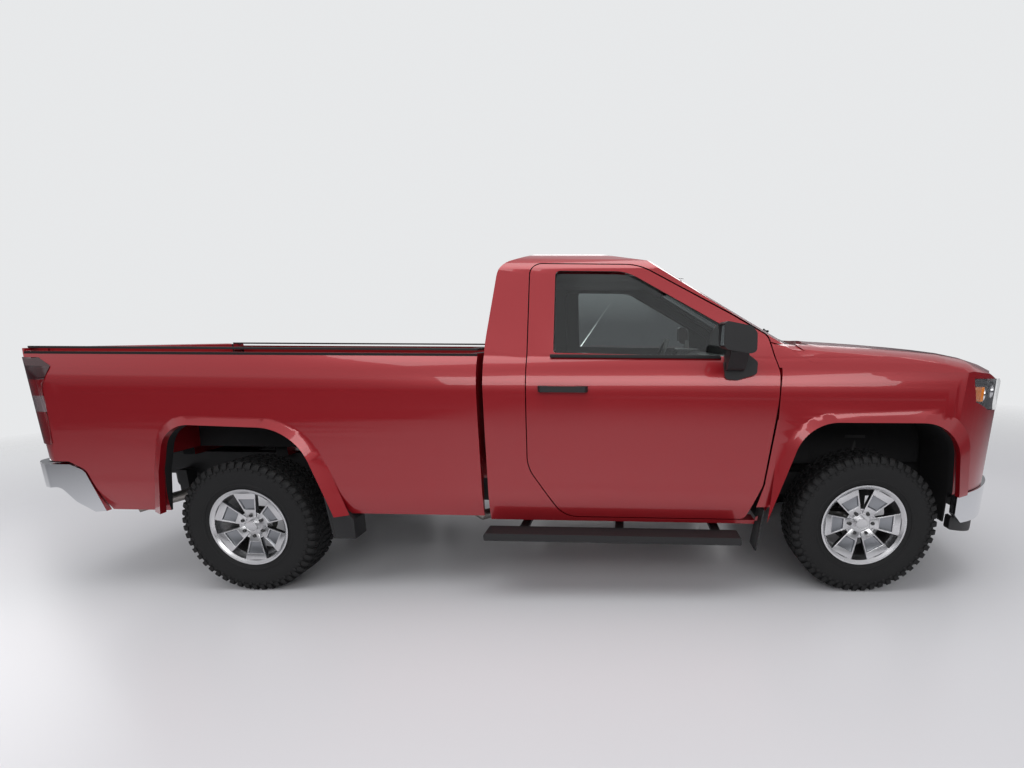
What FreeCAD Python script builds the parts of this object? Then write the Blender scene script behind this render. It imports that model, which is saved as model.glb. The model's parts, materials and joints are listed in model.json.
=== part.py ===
import FreeCAD, Part
import math
import os

# Pickup truck with a single cab and a long bed, four-wheel drive.
# Millimetres. +X points to the nose, +Y to the driver's side, +Z up.
# The origin is on the ground under the middle of the truck's length.
# Body and frame are drawn level, then tilted nose down about one point, as the truck stands.
# Wheels, axles and front suspension are drawn as they stand.

V = FreeCAD.Vector

# Overall layout
WHEELBASE = 3546.0
FRONT_OVERHANG = 940.0
REAR_OVERHANG = 1345.0
TRACK = 1743.0
RAKE_DEG = 1.3
RAKE_X = 202.5
RAKE_Z = 900.0

LENGTH = FRONT_OVERHANG + WHEELBASE + REAR_OVERHANG
REAR_AXLE_X = REAR_OVERHANG - LENGTH / 2
FRONT_AXLE_X = REAR_AXLE_X + WHEELBASE
NOSE_X = FRONT_AXLE_X + FRONT_OVERHANG
TAIL_X = REAR_AXLE_X - REAR_OVERHANG
WHEEL_Y = TRACK / 2

# Clearances
SHUT_GAP = 6.0
SEAT_FIT = 0.3
RUN_FIT = 0.05

# Tyres and wheels
TYRE_R = 398.0
TYRE_HALF = 132.5
TREAD_HALF = 90.0
TYRE_BEAD_HALF = 92.0
WHEEL_SIDES = 48
LUG_SIDE_STEP = 3
LUG_DEPTH = 24.0
LUG_DROP = 2.0
LUG_FOOT = 15.0
AXLE_Z = TYRE_R
RIM_R = 222.0
RIM_LIP_R = 236.0
RIM_HALF = 116.0
RIM_WALL = 12.0
SPOKES = 6
SPOKE_FACE_Y = 96.0
SPOKE_T = 22.0
SPOKE_POCKET = 8.0
WINDOW_IN_R = 104.0
WINDOW_OUT_R = 196.0
WINDOW_IN_HALF = 24.0
WINDOW_OUT_HALF = 70.0
HUB_FACE_R = 92.0
HUB_CAP_R = 38.0
LUG_NUT_CIRCLE_R = 69.85
LUG_NUT_R = 13.0
DISC_R = 165.0
DISC_T = 28.0
SPINDLE_R = 28.0
SPINDLE_END = 45.0
KINGPIN_Y = 785.0
KINGPIN_R = 14.0
BALL_RISE = 125.0
CALIPER_REACH = 178.0

# Widths, all from the half width over the doors
BODY_HALF = 996.0
BELT_HALF = BODY_HALF - 70.0
DRIP_HALF = BODY_HALF - 214.0
CAB_INNER_HALF = BODY_HALF - 158.0
DOOR_INNER_Y = BODY_HALF - 124.0
BED_INNER_HALF = BODY_HALF - 89.0
HOUSE_HALF = BODY_HALF - 354.0
TAILGATE_HALF = BODY_HALF - 221.0
HOOD_EAR_Y = BODY_HALF - 306.0
GRILLE_HALF = BODY_HALF - 444.0
BODY_SIDE_JOIN = BODY_HALF - 150.0
SEAT_HALF = BODY_HALF - 296.0
WIDE = BODY_HALF + 304.0

# Cab
CAB_REAR_X = REAR_AXLE_X + 1443.5
BELT_Z = 1357.0
ROCKER_Z = 421.0
FLOOR_Z = 600.0
FLOOR_T = 40.0
ROOF_Z = 1913.0
ROOF_T = 52.0
DRIP_Z = 1812.0
DOOR_BEHIND_GAP = 14.0
DOOR_BOTTOM_Z = 452.0
CAB_WALL_T = 60.0
GLASS_T = 5.0
SCREEN_T = 8.0
SCREEN_SET = 20.0
FIREWALL_X = FRONT_AXLE_X - 635.0
FIREWALL_T = 55.0
WINDSHIELD_RISE_DEG = 29.0
HINGE_PIN_R = 6.0
HINGE_ARM_HALF = 7.0
HINGE_ARM_RISE = 20.0
HINGE_HEIGHTS = (800.0, 1120.0)

# Bed
BED_GAP = 36.0
BED_FRONT_X = CAB_REAR_X - BED_GAP
RAIL_Z = 1378.0
BED_DEPTH = 569.0
BED_FLOOR_T = 30.0
BED_WALL_T = 25.0
BED_BOTTOM_Z = 445.0
HOUSE_TOP_Z = 1055.0
TAILGATE_T = 60.0
TAIL_FACE_X = TAIL_X + 120.0
CAP_H = 12.0

# Front
FENDER_T = 40.0
FENDER_BOTTOM_Z = 612.0
HOOD_PIVOT_X = FRONT_AXLE_X - 320.5
HOOD_PIVOT_Z = 1385.0
HOOD_PIN_R = 4.0
GRILLE_DEPTH = 70.0

# Frame
RAIL_HALF = 430.0
RAIL_W = 75.0
RAIL_H = 150.0
RAIL_REAR_Z = 550.0
RAIL_MID_Z = 395.0
RAIL_FRONT_Z = 466.0
LEAF_Y = 515.0
LEAF_HALF = 35.0
LEAF_REACH = 700.0
LEAF_TOP_Z = 492.0
LEAF_T = 22.0
FRAME_REAR_X = TAIL_X + 48.0 + SEAT_FIT
FRAME_FRONT_X = NOSE_X - 68.0
DAMPER_X = FRONT_AXLE_X + 75.0
BALL_HOLE_R = 16.0
BALL_HOLE_SET = 78.0
SPARE_X = REAR_AXLE_X - 704.5
SPARE_Z = 513.0
SPARE_HALF = 122.0
SPARE_RIM_T = 18.0
SPARE_CROSS_Z = SPARE_Z + SPARE_HALF + 12.0
CASE_X = CAB_REAR_X + 767.0
CASE_Z0 = 400.0
CASE_Z1 = 540.0
ENGINE_X = FRONT_AXLE_X - 500.0
ENGINE_Z = 560.0

# Seating inside
WHEEL_TILT = 22.7
WHEEL_X = FIREWALL_X - 455.5
WHEEL_Z = 1254.0

BED_FLOOR_Z = RAIL_Z - BED_DEPTH
GATE_PIVOT_Z = BED_FLOOR_Z + 13.0
GATE_PIN_R = 9.0
RAIL_OUT_Y = RAIL_HALF + RAIL_W / 2
RAIL_IN_Y = RAIL_HALF - RAIL_W / 2

os.makedirs("parts", exist_ok=True)


# Shape helpers


def box(x0, x1, y0, y1, z0, z1):
    return Part.makeBox(x1 - x0, y1 - y0, z1 - z0, V(x0, y0, z0))


def rounded(points):
    """Closed flat wire through corners (a, b) or (a, b, radius); a radius is limited by its two sides."""
    count = len(points)
    corners = []
    for i in range(count):
        p = V(points[i][0], points[i][1], 0)
        radius = points[i][2] if len(points[i]) > 2 else 0.0
        back = V(points[i - 1][0], points[i - 1][1], 0) - p
        ahead = V(points[(i + 1) % count][0], points[(i + 1) % count][1], 0) - p
        half = back.getAngle(ahead) / 2
        if radius <= 0 or half > math.radians(89.5):
            corners.append((p, None, p))
            continue
        room = 0.49 * min(back.Length, ahead.Length)
        reach = min(radius / math.tan(half), room)
        radius = reach * math.tan(half)
        back.normalize()
        ahead.normalize()
        middle = (back + ahead).normalize()
        corners.append((p + back * reach, p + middle * (radius / math.sin(half) - radius), p + ahead * reach))
    edges = []
    for i in range(count):
        first, bend, last = corners[i]
        if bend is not None:
            edges.append(Part.Arc(first, bend, last).toShape())
        following = corners[(i + 1) % count][0]
        if (following - last).Length > 1e-6:
            edges.append(Part.LineSegment(last, following).toShape())
    return Part.Wire(edges)


def plane_face(wire, plane):
    """Turns a 2-D wire into a face whose plane is 'xz', 'yz' or 'xy'."""
    face = Part.Face(wire)
    if plane == "xz":
        face.rotate(V(0, 0, 0), V(1, 0, 0), 90)
    if plane == "yz":
        face.rotate(V(0, 0, 0), V(1, 1, 1), 120)
    return face


def side_prism(points, y0, y1):
    """Outline in the side view (x, z), from y0 to y1."""
    face = plane_face(rounded(points), "xz")
    face.translate(V(0, y0, 0))
    return face.extrude(V(0, y1 - y0, 0))


def cross_prism(points, x0, x1):
    """Outline in the cross section (y, z), from x0 to x1."""
    face = plane_face(rounded(points), "yz")
    face.translate(V(x0, 0, 0))
    return face.extrude(V(x1 - x0, 0, 0))


def plan_prism(points, z0, z1):
    """Outline in the plan view (x, y), from z0 to z1."""
    face = plane_face(rounded(points), "xy")
    face.translate(V(0, 0, z0))
    return face.extrude(V(0, 0, z1 - z0))


def even(half):
    """Makes a closed outline that is even about the centre line from its half with y >= 0."""
    return half + [(-p[0],) + tuple(p[1:]) for p in reversed(half)]


def even_plan(half):
    """The same for a plan outline, whose second value is y."""
    return half + [(p[0], -p[1]) + tuple(p[2:]) for p in reversed(half)]


def arc_chain(points, count):
    """Smooth curve through points, drawn as a chain of arcs."""
    curve = Part.BSplineCurve()
    curve.interpolate([V(*p) for p in points])
    step = (curve.LastParameter - curve.FirstParameter) / (2 * count)
    marks = [curve.value(curve.FirstParameter + step * i) for i in range(2 * count + 1)]
    return [Part.Arc(marks[i], marks[i + 1], marks[i + 2]).toShape() for i in range(0, 2 * count, 2)]


def rod(a, b, radius):
    direction = V(*b) - V(*a)
    return Part.makeCylinder(radius, direction.Length, V(*a), direction)


def pipe(points, radius):
    """Round bar through points, mitred by running each length a little past its bend."""
    lengths = []
    for i in range(len(points) - 1):
        a = V(*points[i])
        b = V(*points[i + 1])
        along = (b - a).normalize()
        start = a if i == 0 else a - along * (radius * 0.3)
        end = b if i == len(points) - 2 else b + along * (radius * 0.3)
        lengths.append(rod(tuple(start), tuple(end), radius))
    return fuse(lengths)


def fuse(shapes):
    result = shapes[0]
    if len(shapes) > 1:
        result = shapes[0].multiFuse(shapes[1:])
    return result.removeSplitter()


def mirrored(shape):
    return shape.mirror(V(0, 0, 0), V(0, 1, 0))


def both_sides(shape):
    return [shape, mirrored(shape)]


def raked(shape):
    turned = shape.copy()
    turned.rotate(V(RAKE_X, 0, RAKE_Z), V(0, 1, 0), RAKE_DEG)
    return turned


def body_z(x, z):
    """Height in the body's own frame of a point that stands at (x, z)."""
    angle = math.radians(RAKE_DEG)
    return RAKE_Z + (x - RAKE_X) * math.sin(angle) + (z - RAKE_Z) * math.cos(angle)


def standing_z(x, z):
    """Height as it stands of a body point (x, z)."""
    angle = math.radians(RAKE_DEG)
    return RAKE_Z - (x - RAKE_X) * math.sin(angle) + (z - RAKE_Z) * math.cos(angle)


def facet_ring(section, sides):
    """Turned form about the Y axis with flat sides; section is a closed list of (radius, across)."""
    step = 2 * math.pi / sides
    faces = []
    for k in range(sides):
        for i in range(len(section)):
            a = section[i - 1]
            b = section[i]
            corners = [facet_point(a, k, step), facet_point(b, k, step), facet_point(b, k + 1, step),
                       facet_point(a, k + 1, step)]
            faces.append(Part.Face(Part.makePolygon(corners + corners[:1])))
    return solid_of(faces)


def facet_point(pair, k, step):
    """Corner number k of a flat-sided ring whose flats lie at the stated radius."""
    radius = pair[0] / math.cos(step / 2)
    angle = step * (k - 0.5)
    return V(radius * math.sin(angle), pair[1], radius * math.cos(angle))


def facet_block(section, k, sides):
    """One side's length of a flat-sided ring, closed at both ends."""
    step = 2 * math.pi / sides
    ends = [[facet_point(p, k, step) for p in section], [facet_point(p, k + 1, step) for p in section]]
    faces = [Part.Face(Part.makePolygon(end + end[:1])) for end in ends]
    for i in range(len(section)):
        corners = [ends[0][i - 1], ends[0][i], ends[1][i], ends[1][i - 1]]
        faces.append(Part.Face(Part.makePolygon(corners + corners[:1])))
    return solid_of(faces)


def solid_of(faces):
    shell = Part.makeShell(faces)
    shell.sewShape()
    solid = Part.makeSolid(shell)
    if solid.Volume < 0:
        solid.reverse()
    return solid


NODES = {}


def keep(name, shapes, level=False):
    """Stores one node as one or more separate solids, tilted with the body unless level."""
    parts = shapes if isinstance(shapes, list) else [shapes]
    solids = []
    for part in parts:
        solids.extend(part.Solids)
    if not level:
        solids = [raked(solid) for solid in solids]
    NODES[name] = Part.makeCompound(solids) if len(solids) > 1 else solids[0]


# Body surfaces

# Height and half width of the side, from the rocker up to the belt
SIDE_PROFILE = [(ROCKER_Z, BODY_HALF - 60.0), (480.0, BODY_HALF - 38.0), (640.0, BODY_HALF - 17.0),
                (880.0, BODY_HALF - 6.0), (1130.0, BODY_HALF), (1250.0, BODY_HALF - 14.0), (BELT_Z,
                                                                                            BELT_HALF)]
GLASS_LEAN = (BELT_HALF - DRIP_HALF) / (DRIP_Z - BELT_Z)


def side_solid(inset, x0, x1, top_z=BELT_Z):
    """Everything inside the body side surface moved inwards by inset, between two stations."""
    lift = top_z - BELT_Z
    outer = [(0, half - inset, z) for z, half in SIDE_PROFILE]
    left = arc_chain(outer, 4)
    right = arc_chain([(0, -y, z) for x, y, z in outer], 4)
    belt = outer[-1][1]
    high = belt - lift * GLASS_LEAN
    edges = left + right
    edges += [Part.LineSegment(V(0, high, top_z), V(0, -high, top_z)).toShape(),
             Part.LineSegment(V(*outer[0]), V(0, -outer[0][1], ROCKER_Z)).toShape()]
    if lift > 0:
        edges.append(Part.LineSegment(V(0, belt, BELT_Z), V(0, high, top_z)).toShape())
        edges.append(Part.LineSegment(V(0, -belt, BELT_Z), V(0, -high, top_z)).toShape())
    face = Part.Face(Part.Wire(Part.sortEdges(edges)[0]))
    face.translate(V(x0, 0, 0))
    return face.extrude(V(x1 - x0, 0, 0))


def plan_half(inset):
    """Plan outline of the nose at half width, from the centre line to the straight side."""
    n = NOSE_X - inset
    b = BODY_HALF - inset
    return [(n - 4, 0), (n - 14, BODY_HALF - 696), (n - 44, BODY_HALF - 496), (n - 111, b - 341 + inset / 2),
            (n - 222, b - 196 + inset * 0.3), (n - 345, b - 96), (n - 475, b - 31), (NOSE_X - 660, b + 6)]


def nose_prism(inset, x0, z0, z1):
    """Prism of the nose's plan outline, from station x0 forwards."""
    left = [(x, y, 0) for x, y in plan_half(inset)]
    chain = [(x, -y, z) for x, y, z in reversed(left)][:-1] + left
    last = V(*left[-1])
    edges = arc_chain(chain, 8)
    edges += [Part.LineSegment(last, V(x0, last.y, 0)).toShape(),
              Part.LineSegment(V(x0, last.y, 0), V(x0, -last.y, 0)).toShape(),
              Part.LineSegment(V(x0, -last.y, 0), V(last.x, -last.y, 0)).toShape()]
    face = Part.Face(Part.Wire(edges))
    face.translate(V(0, 0, z0))
    return face.extrude(V(0, 0, z1 - z0))


def nose_core(inset, x0, z0, z1):
    """Straight-sided prism inside the nose's plan outline, for inner faces."""
    half = [(x, y) for x, y in reversed(plan_half(inset)[1:])]
    return plan_prism(even_plan([(x0, half[0][1])] + half), z0, z1)


# Stations of the hood and fender tops: x from the front axle, height at the fender line and on the centre line
TOP_STATIONS = [(-680.0, 1475.0, 1499.0), (-420.0, 1421.0, 1445.0), (-160.0, 1403.0, 1426.0),
                (120.0, 1386.0, 1408.0), (340.0, 1366.0, 1388.0), (520.0, 1328.0, 1366.0),
                (650.0, 1258.0, 1340.0), (780.0, 1158.0, 1297.0), (940.0, 1020.0, 1205.0)]
# Share of the crown's rise across the hood, then the fall past the fender line
TOP_CROWN = [(0.0, 1.0), (BODY_HALF - 666.0, 0.97), (BODY_HALF - 436.0, 0.92), (BODY_HALF - 296.0, 0.5),
             (BODY_HALF - 146.0, 0.0)]
TOP_FALL = [(BODY_HALF - 66.0, 34.0), (BODY_HALF - 6.0, 82.0), (BODY_HALF + 44.0, 160.0)]


TOP_STEPS = 12


def top_solid(drop, z0):
    """Everything under the hood and fender tops lowered by drop, down to z0."""
    line = Part.BSplineCurve()
    line.interpolate([V(*station) for station in TOP_STATIONS])
    step = (line.LastParameter - line.FirstParameter) / TOP_STEPS
    wires = []
    for i in range(TOP_STEPS + 1):
        along, edge, centre = line.value(line.FirstParameter + step * i)
        x = FRONT_AXLE_X + along
        half = [(x, y, edge + (centre - edge) * share - drop) for y, share in TOP_CROWN]
        half += [(x, y, edge - fall - drop) for y, fall in TOP_FALL]
        chain = [(px, -py, pz) for px, py, pz in reversed(half)][:-1] + half
        a = V(*chain[0])
        b = V(*chain[-1])
        edges = arc_chain(chain, 8)
        edges += [Part.LineSegment(b, V(x, b.y, z0)).toShape(),
                  Part.LineSegment(V(x, b.y, z0), V(x, a.y, z0)).toShape(),
                  Part.LineSegment(V(x, a.y, z0), a).toShape()]
        wires.append(Part.Wire(edges))
    return Part.makeLoft(wires, True, True)


def under_top(drop, low):
    """Straight-sided space below the hood and fender tops, for their inner faces."""
    f = FRONT_AXLE_X
    line = [(f - 700, 1455), (f - 360, 1398), (f - 280, 1394), (f, 1362), (f + 340, 1334), (f + 520, 1296),
            (f + 650, 1222), (f + 780, 1120), (f + 960, 1000)]
    return side_prism([(f - 700, low)] + [(x, z - drop) for x, z in line] + [(f + 960, low)], -WIDE, WIDE)


def hood_underside(drop):
    """Space under the hood, whose underside is one bent sheet."""
    f = FRONT_AXLE_X
    line = [(f - 460, 1398), (f - 280, 1394), (f, 1362), (f + 340, 1334), (f + 520, 1298), (f + 640, 1262),
            (f + 760, 1232), (f + 920, 1186)]
    return side_prism([(f - 460, 700)] + [(x, z - drop) for x, z in line] + [(f + 920, 700)], -WIDE, WIDE)


# Wheel arches, as side-view outlines
def rear_arch(grow=0.0):
    x = REAR_AXLE_X
    return [(x - 486 - grow, 380), (x - 432 - grow * 0.9, 700), (x - 350 - grow, 974 + grow, 255 + grow),
            (x + 380 + grow, 956 + grow, 285 + grow), (x + 512 + grow, 570), (x + 575 + grow, 380)]


def front_arch(grow=0.0):
    x = FRONT_AXLE_X
    return [(x - 560 - grow, 380), (x - 459 - grow, 707), (x - 362 - grow, 1021 + grow, 385 + grow),
            (x + 424 + grow, 1024 + grow, 345 + grow), (x + 477 + grow, 640), (x + 477 + grow, 380)]


def flare(arch, proud):
    """Raised lip round an arch: full height at the opening, fading out over its width."""
    inner = plane_face(rounded(arch(0.0)), "xz")
    outer = plane_face(rounded(arch(70.0)), "xz")
    inner.translate(V(0, BODY_HALF + proud, 0))
    outer.translate(V(0, BODY_HALF - 14.0, 0))
    return Part.makeLoft([inner.OuterWire, outer.OuterWire], True, True)


# Door outlines
DOOR_REAR_X = CAB_REAR_X + 232.0
DOOR_FRONT_X = FRONT_AXLE_X - 519.0
HINGE_X = DOOR_FRONT_X - 56.0
HINGE_Y = BODY_HALF - 26.0
FENDER_RELIEF_R = 68.0
FENDER_REAR_X = DOOR_FRONT_X - 160.0


def door_outline(grow=0.0):
    """Side view of a door, with the pillar and roof lines on its upper frame."""
    rear = DOOR_REAR_X - grow
    front = DOOR_FRONT_X + grow
    sill = DOOR_BOTTOM_Z - grow
    return [(rear, 745, 200), (rear + 10, DRIP_Z + 26 + grow, 60 + grow),
            (DOOR_REAR_X + 595 + grow / 2, DRIP_Z + 20 + grow, 300),
            (DOOR_FRONT_X - 256.5 + grow, 1572 + grow, 0), (DOOR_FRONT_X - 61.5 + grow, 1462 + grow,
                                                            70 + grow),
            (front, 1275, 120), (front, 1120, 400), (front - 44, 660, 0), (front - 128, sill, 40 + grow),
            (rear + 200, sill, 150)]


def window_outline(shrink=0.0):
    """Side view of the door window."""
    rear = DOOR_REAR_X + 145 + shrink
    front = DOOR_FRONT_X - 270.5 - shrink
    low = BELT_Z + shrink
    high = DRIP_Z - 12 - shrink
    return [(rear, low + 12, 14), (rear + 2, high, 28), (rear + 390, high - 3, 260),
            (front - 21, 1512 - shrink * 1.2, 40), (front, low - 2, 14)]


def cab_prism(inset, top_inset, x0, x1):
    """Solid cab form with the side surface below the belt, lean above it and a crowned roof."""
    lower = side_solid(inset, x0, x1)
    y_belt = BELT_HALF - inset
    y_top = DRIP_HALF - inset
    roof = ROOF_Z - top_inset
    half = [(0, y_top, DRIP_Z), (0, y_top - 60, roof - 45), (0, BODY_HALF - 496, roof - 10)]
    crown = arc_chain(half + [(0, 0, roof)] + [(0, -y, z) for x, y, z in reversed(half)], 6)
    edges = [Part.LineSegment(V(0, -y_top, DRIP_Z), V(0, -y_belt, BELT_Z)).toShape(),
             Part.LineSegment(V(0, -y_belt, BELT_Z), V(0, y_belt, BELT_Z)).toShape(),
             Part.LineSegment(V(0, y_belt, BELT_Z), V(0, y_top, DRIP_Z)).toShape()]
    upper = Part.Face(Part.Wire(crown + edges))
    upper.translate(V(x0, 0, 0))
    return fuse([lower, upper.extrude(V(x1 - x0, 0, 0))])


# Windshield: a plan arc carried up the slope
SLOPE = V(-math.cos(math.radians(WINDSHIELD_RISE_DEG)), 0, math.sin(math.radians(WINDSHIELD_RISE_DEG)))
SCREEN_BASE_Z = 1430.0
SCREEN_BASE_X = FRONT_AXLE_X - 325.0
SCREEN_LOW = 60.0
SCREEN_HIGH = 790.0
SCREEN_BOW = 240.0
# The roof's front edge: rounding in side view, made of flats that bow down and forwards to the sides
HEADER_R = 600.0
HEADER_FLATS = 3
HEADER_BOW_HALF = BODY_HALF - 96.0
HEADER_DROP = 70.0
HEADER_SWEEP = 39.0
HEADER_REACH = 500.0


def windshield_slab(set_back, thick, low=-400.0, high=1600.0):
    """Slab that follows the windshield's surface, moved back along X by set_back."""
    base = V(SCREEN_BASE_X - set_back, 0, SCREEN_BASE_Z)
    fall = V(-SLOPE.z, 0, SLOPE.x) * (SCREEN_BOW * SLOPE.z)
    arc = Part.Arc(base + fall + V(0, -1010, 0), base, base + fall + V(0, 1010, 0)).toShape()
    arc.translate(SLOPE * low)
    surface = arc.extrude(SLOPE * (high - low))
    return surface.extrude(V(thick, 0, 0))


def header_flats():
    """Space above the roof's front edge, whose flats round it and bow with the roof."""
    lean = math.atan2(SLOPE.z, -SLOPE.x)
    corner = V(SCREEN_BASE_X - (ROOF_Z - SCREEN_BASE_Z) / math.tan(lean), 0, ROOF_Z)
    centre = corner + V(-HEADER_R * math.tan(lean / 2), 0, -HEADER_R)
    side = V(HEADER_SWEEP, HEADER_BOW_HALF, -HEADER_DROP)
    tools = []
    for step in range(1, HEADER_FLATS + 1):
        angle = lean * step / (HEADER_FLATS + 1)
        middle = centre + V(math.sin(angle), 0, math.cos(angle)) * HEADER_R
        along = V(math.cos(angle), 0, -math.sin(angle))
        arc = Part.Arc(middle + side, middle, middle + V(side.x, -side.y, side.z)).toShape()
        arc.translate(along * -HEADER_REACH)
        tools.append(arc.extrude(along * 2 * HEADER_REACH).extrude(V(0, 0, HEADER_REACH)))
    return tools


def screen_region(set_back, thick, shrink):
    """Windshield opening or pane, by how far its edge is drawn in."""
    slab = windshield_slab(set_back, thick, SCREEN_LOW + shrink, SCREEN_HIGH - shrink)
    outline = even([(BODY_HALF - 226 - shrink, SCREEN_BASE_Z - 30 + shrink, 60),
                    (BODY_HALF - 306 - shrink, ROOF_Z - 73 - shrink, 60)])
    return slab.common(cross_prism(outline, DOOR_REAR_X + 495, NOSE_X))


def rear_opening(shrink):
    return even([(BODY_HALF - 396 - shrink, 1440 + shrink, 60), (BODY_HALF - 436 - shrink, 1760 - shrink,
                                                                 60)])


# Plan outline of the hood, grown by a gap
def hood_plan(grow):
    f = FRONT_AXLE_X
    b = BODY_HALF + grow
    side = [(f - 285.5 - grow, BODY_HALF - 596, 700), (f - 353.5 - grow, b - 151, 20),
            (f + 324.5, b - 154, 900), (f + 544.5, b - 196, 300), (f + 714.5 + grow, b - 306, 200),
            (f + 819.5 + grow, BODY_HALF - 436, 250)]
    return side + [(f + 886.5 + grow, 0, 3000)] + [(x, -y, r) for x, y, r in reversed(side)]


# Cab and doors


def build_cab():
    c = CAB_REAR_X
    f = FRONT_AXLE_X
    front = FIREWALL_X + FIREWALL_T
    outer = cab_prism(0, 0, c, f - 275)
    side = [(c, ROCKER_Z), (c, 1400, 900), (c + 66, 1838, 110), (c + 307, ROOF_Z + 12, 400),
            (c + 767, ROOF_Z + 12, 300), (f - 290, 1800), (f - 290, 1330), (front, 1290, 40),
            (front, 700, 60), (FIREWALL_X - 60, 540), (FIREWALL_X - 60, ROCKER_Z)]
    outer = outer.common(side_prism(side, -WIDE, WIDE))
    outer = outer.cut(windshield_slab(0, 1500))
    for flat in header_flats():
        outer = outer.cut(flat)
    outer = outer.cut(windshield_slab(14, 1500, -400, 15))
    outer = outer.cut(plan_prism(hood_plan(SHUT_GAP + 10), 900, 1600))
    for edge in ((-WIDE, -BODY_SIDE_JOIN), (BODY_SIDE_JOIN, WIDE)):
        shoulder = box(FENDER_REAR_X - SHUT_GAP, f, edge[0], edge[1], 300, 1600)
        outer = outer.cut(shoulder.common(top_solid(-SHUT_GAP, 200)).cut(door_zone()))
    inner = cab_prism(BELT_HALF - CAB_INNER_HALF, ROOF_T, c + CAB_WALL_T, FIREWALL_X + 1)
    inner_side = [(c + CAB_WALL_T, FLOOR_Z, 20), (c + CAB_WALL_T + 2, 1420, 500),
                  (c + CAB_WALL_T + 70, 1820, 80), (c + 367, 1900, 300), (c + 827, 1900, 200), (FIREWALL_X,
                                                                                                1700), (FIREWALL_X, 860, 60),
                  (FIREWALL_X - 230, FLOOR_Z, 40)]
    inner = inner.common(side_prism(inner_side, -WIDE, WIDE))
    inner = inner.cut(windshield_slab(62, 1500))
    cab = outer.cut(inner)
    pocket = side_prism(door_outline(SHUT_GAP), -WIDE, WIDE).cut(door_core(DOOR_BEHIND_GAP))
    cab = cab.cut(pocket)
    aperture = [(DOOR_REAR_X + 35, FLOOR_Z + 10, 120), (DOOR_REAR_X + 45, 1790, 50),
                (DOOR_REAR_X + 585, 1785, 260), (DOOR_FRONT_X - 276.5, 1520), (DOOR_FRONT_X - 126.5, 1430,
                                                                               60), (FIREWALL_X - 50, 1200,
                                                                                     100),
                (FIREWALL_X - 50, 700, 120), (FIREWALL_X - 150, FLOOR_Z + 10, 80)]
    cab = cab.cut(side_prism(aperture, -WIDE, WIDE))
    cab = cab.cut(cross_prism(rear_opening(0), c - 100, c + 150))
    cab = cab.cut(screen_region(75, 400, 0))
    cab = cab.cut(box(c - 10, FIREWALL_X + 100, -760, 760, ROCKER_Z - 10, FLOOR_Z - FLOOR_T))
    ears = []
    for low in (HOOD_EAR_Y, -HOOD_EAR_Y - 10):
        ears.append(side_prism([(HOOD_PIVOT_X - 70, 1295), (HOOD_PIVOT_X - 70, 1340), (HOOD_PIVOT_X - 9,
                                                                                       1350),
                                (HOOD_PIVOT_X - 8, HOOD_PIVOT_Z + HOOD_PIN_R),
                                (HOOD_PIVOT_X + 8, HOOD_PIVOT_Z + HOOD_PIN_R),
                                (HOOD_PIVOT_X + 9, 1330), (HOOD_PIVOT_X - 15, 1295)], low, low + 10))
    for side in (1, -1):
        y0 = side * (HOOD_EAR_Y + 9)
        y1 = side * (HOOD_EAR_Y + 28)
        ears.append(rod((HOOD_PIVOT_X, y0, HOOD_PIVOT_Z), (HOOD_PIVOT_X, y1, HOOD_PIVOT_Z), HOOD_PIN_R))
    hinges = []
    for z in HINGE_HEIGHTS:
        arm = plan_prism([(HINGE_X - 40, DOOR_INNER_Y - 26), (HINGE_X - 40, DOOR_INNER_Y - SHUT_GAP),
                          (HINGE_X - HINGE_ARM_HALF, DOOR_INNER_Y - SHUT_GAP), (HINGE_X - HINGE_ARM_HALF,
                                                                                HINGE_Y),
                          (HINGE_X + HINGE_ARM_HALF, HINGE_Y), (HINGE_X + HINGE_ARM_HALF, DOOR_INNER_Y - 26)],
                         z - HINGE_ARM_RISE, z + HINGE_ARM_RISE)
        pin = rod((HINGE_X, HINGE_Y, z - 2 * HINGE_ARM_RISE),
                  (HINGE_X, HINGE_Y, z + 2 * HINGE_ARM_RISE), HINGE_PIN_R)
        hinges += [arm, pin, mirrored(arm), mirrored(pin)]
    rocker = side_solid(0, FIREWALL_X - 61, FIREWALL_X + 50).common(
        box(FIREWALL_X - 61, FIREWALL_X + 50, CAB_INNER_HALF, WIDE, ROCKER_Z, DOOR_BOTTOM_Z - SHUT_GAP))
    return fuse([cab, rocker, mirrored(rocker)] + ears + hinges)


def door_zone():
    """Cab side behind the door's front line, which the fender doesn't cover."""
    return side_prism(door_outline(SHUT_GAP), -WIDE, WIDE)


def door_core(back_off):
    """Everything inboard of a door's inner face, moved inwards by back_off."""
    low = DOOR_INNER_Y - back_off
    knee_z = BELT_Z + 15
    top_z = DRIP_Z + 75
    top = low - (top_z - 15 - BELT_Z) * GLASS_LEAN
    return cross_prism(even([(low, 200), (low, knee_z), (top, top_z)]), CAB_REAR_X - 300, FRONT_AXLE_X - 100)


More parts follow.
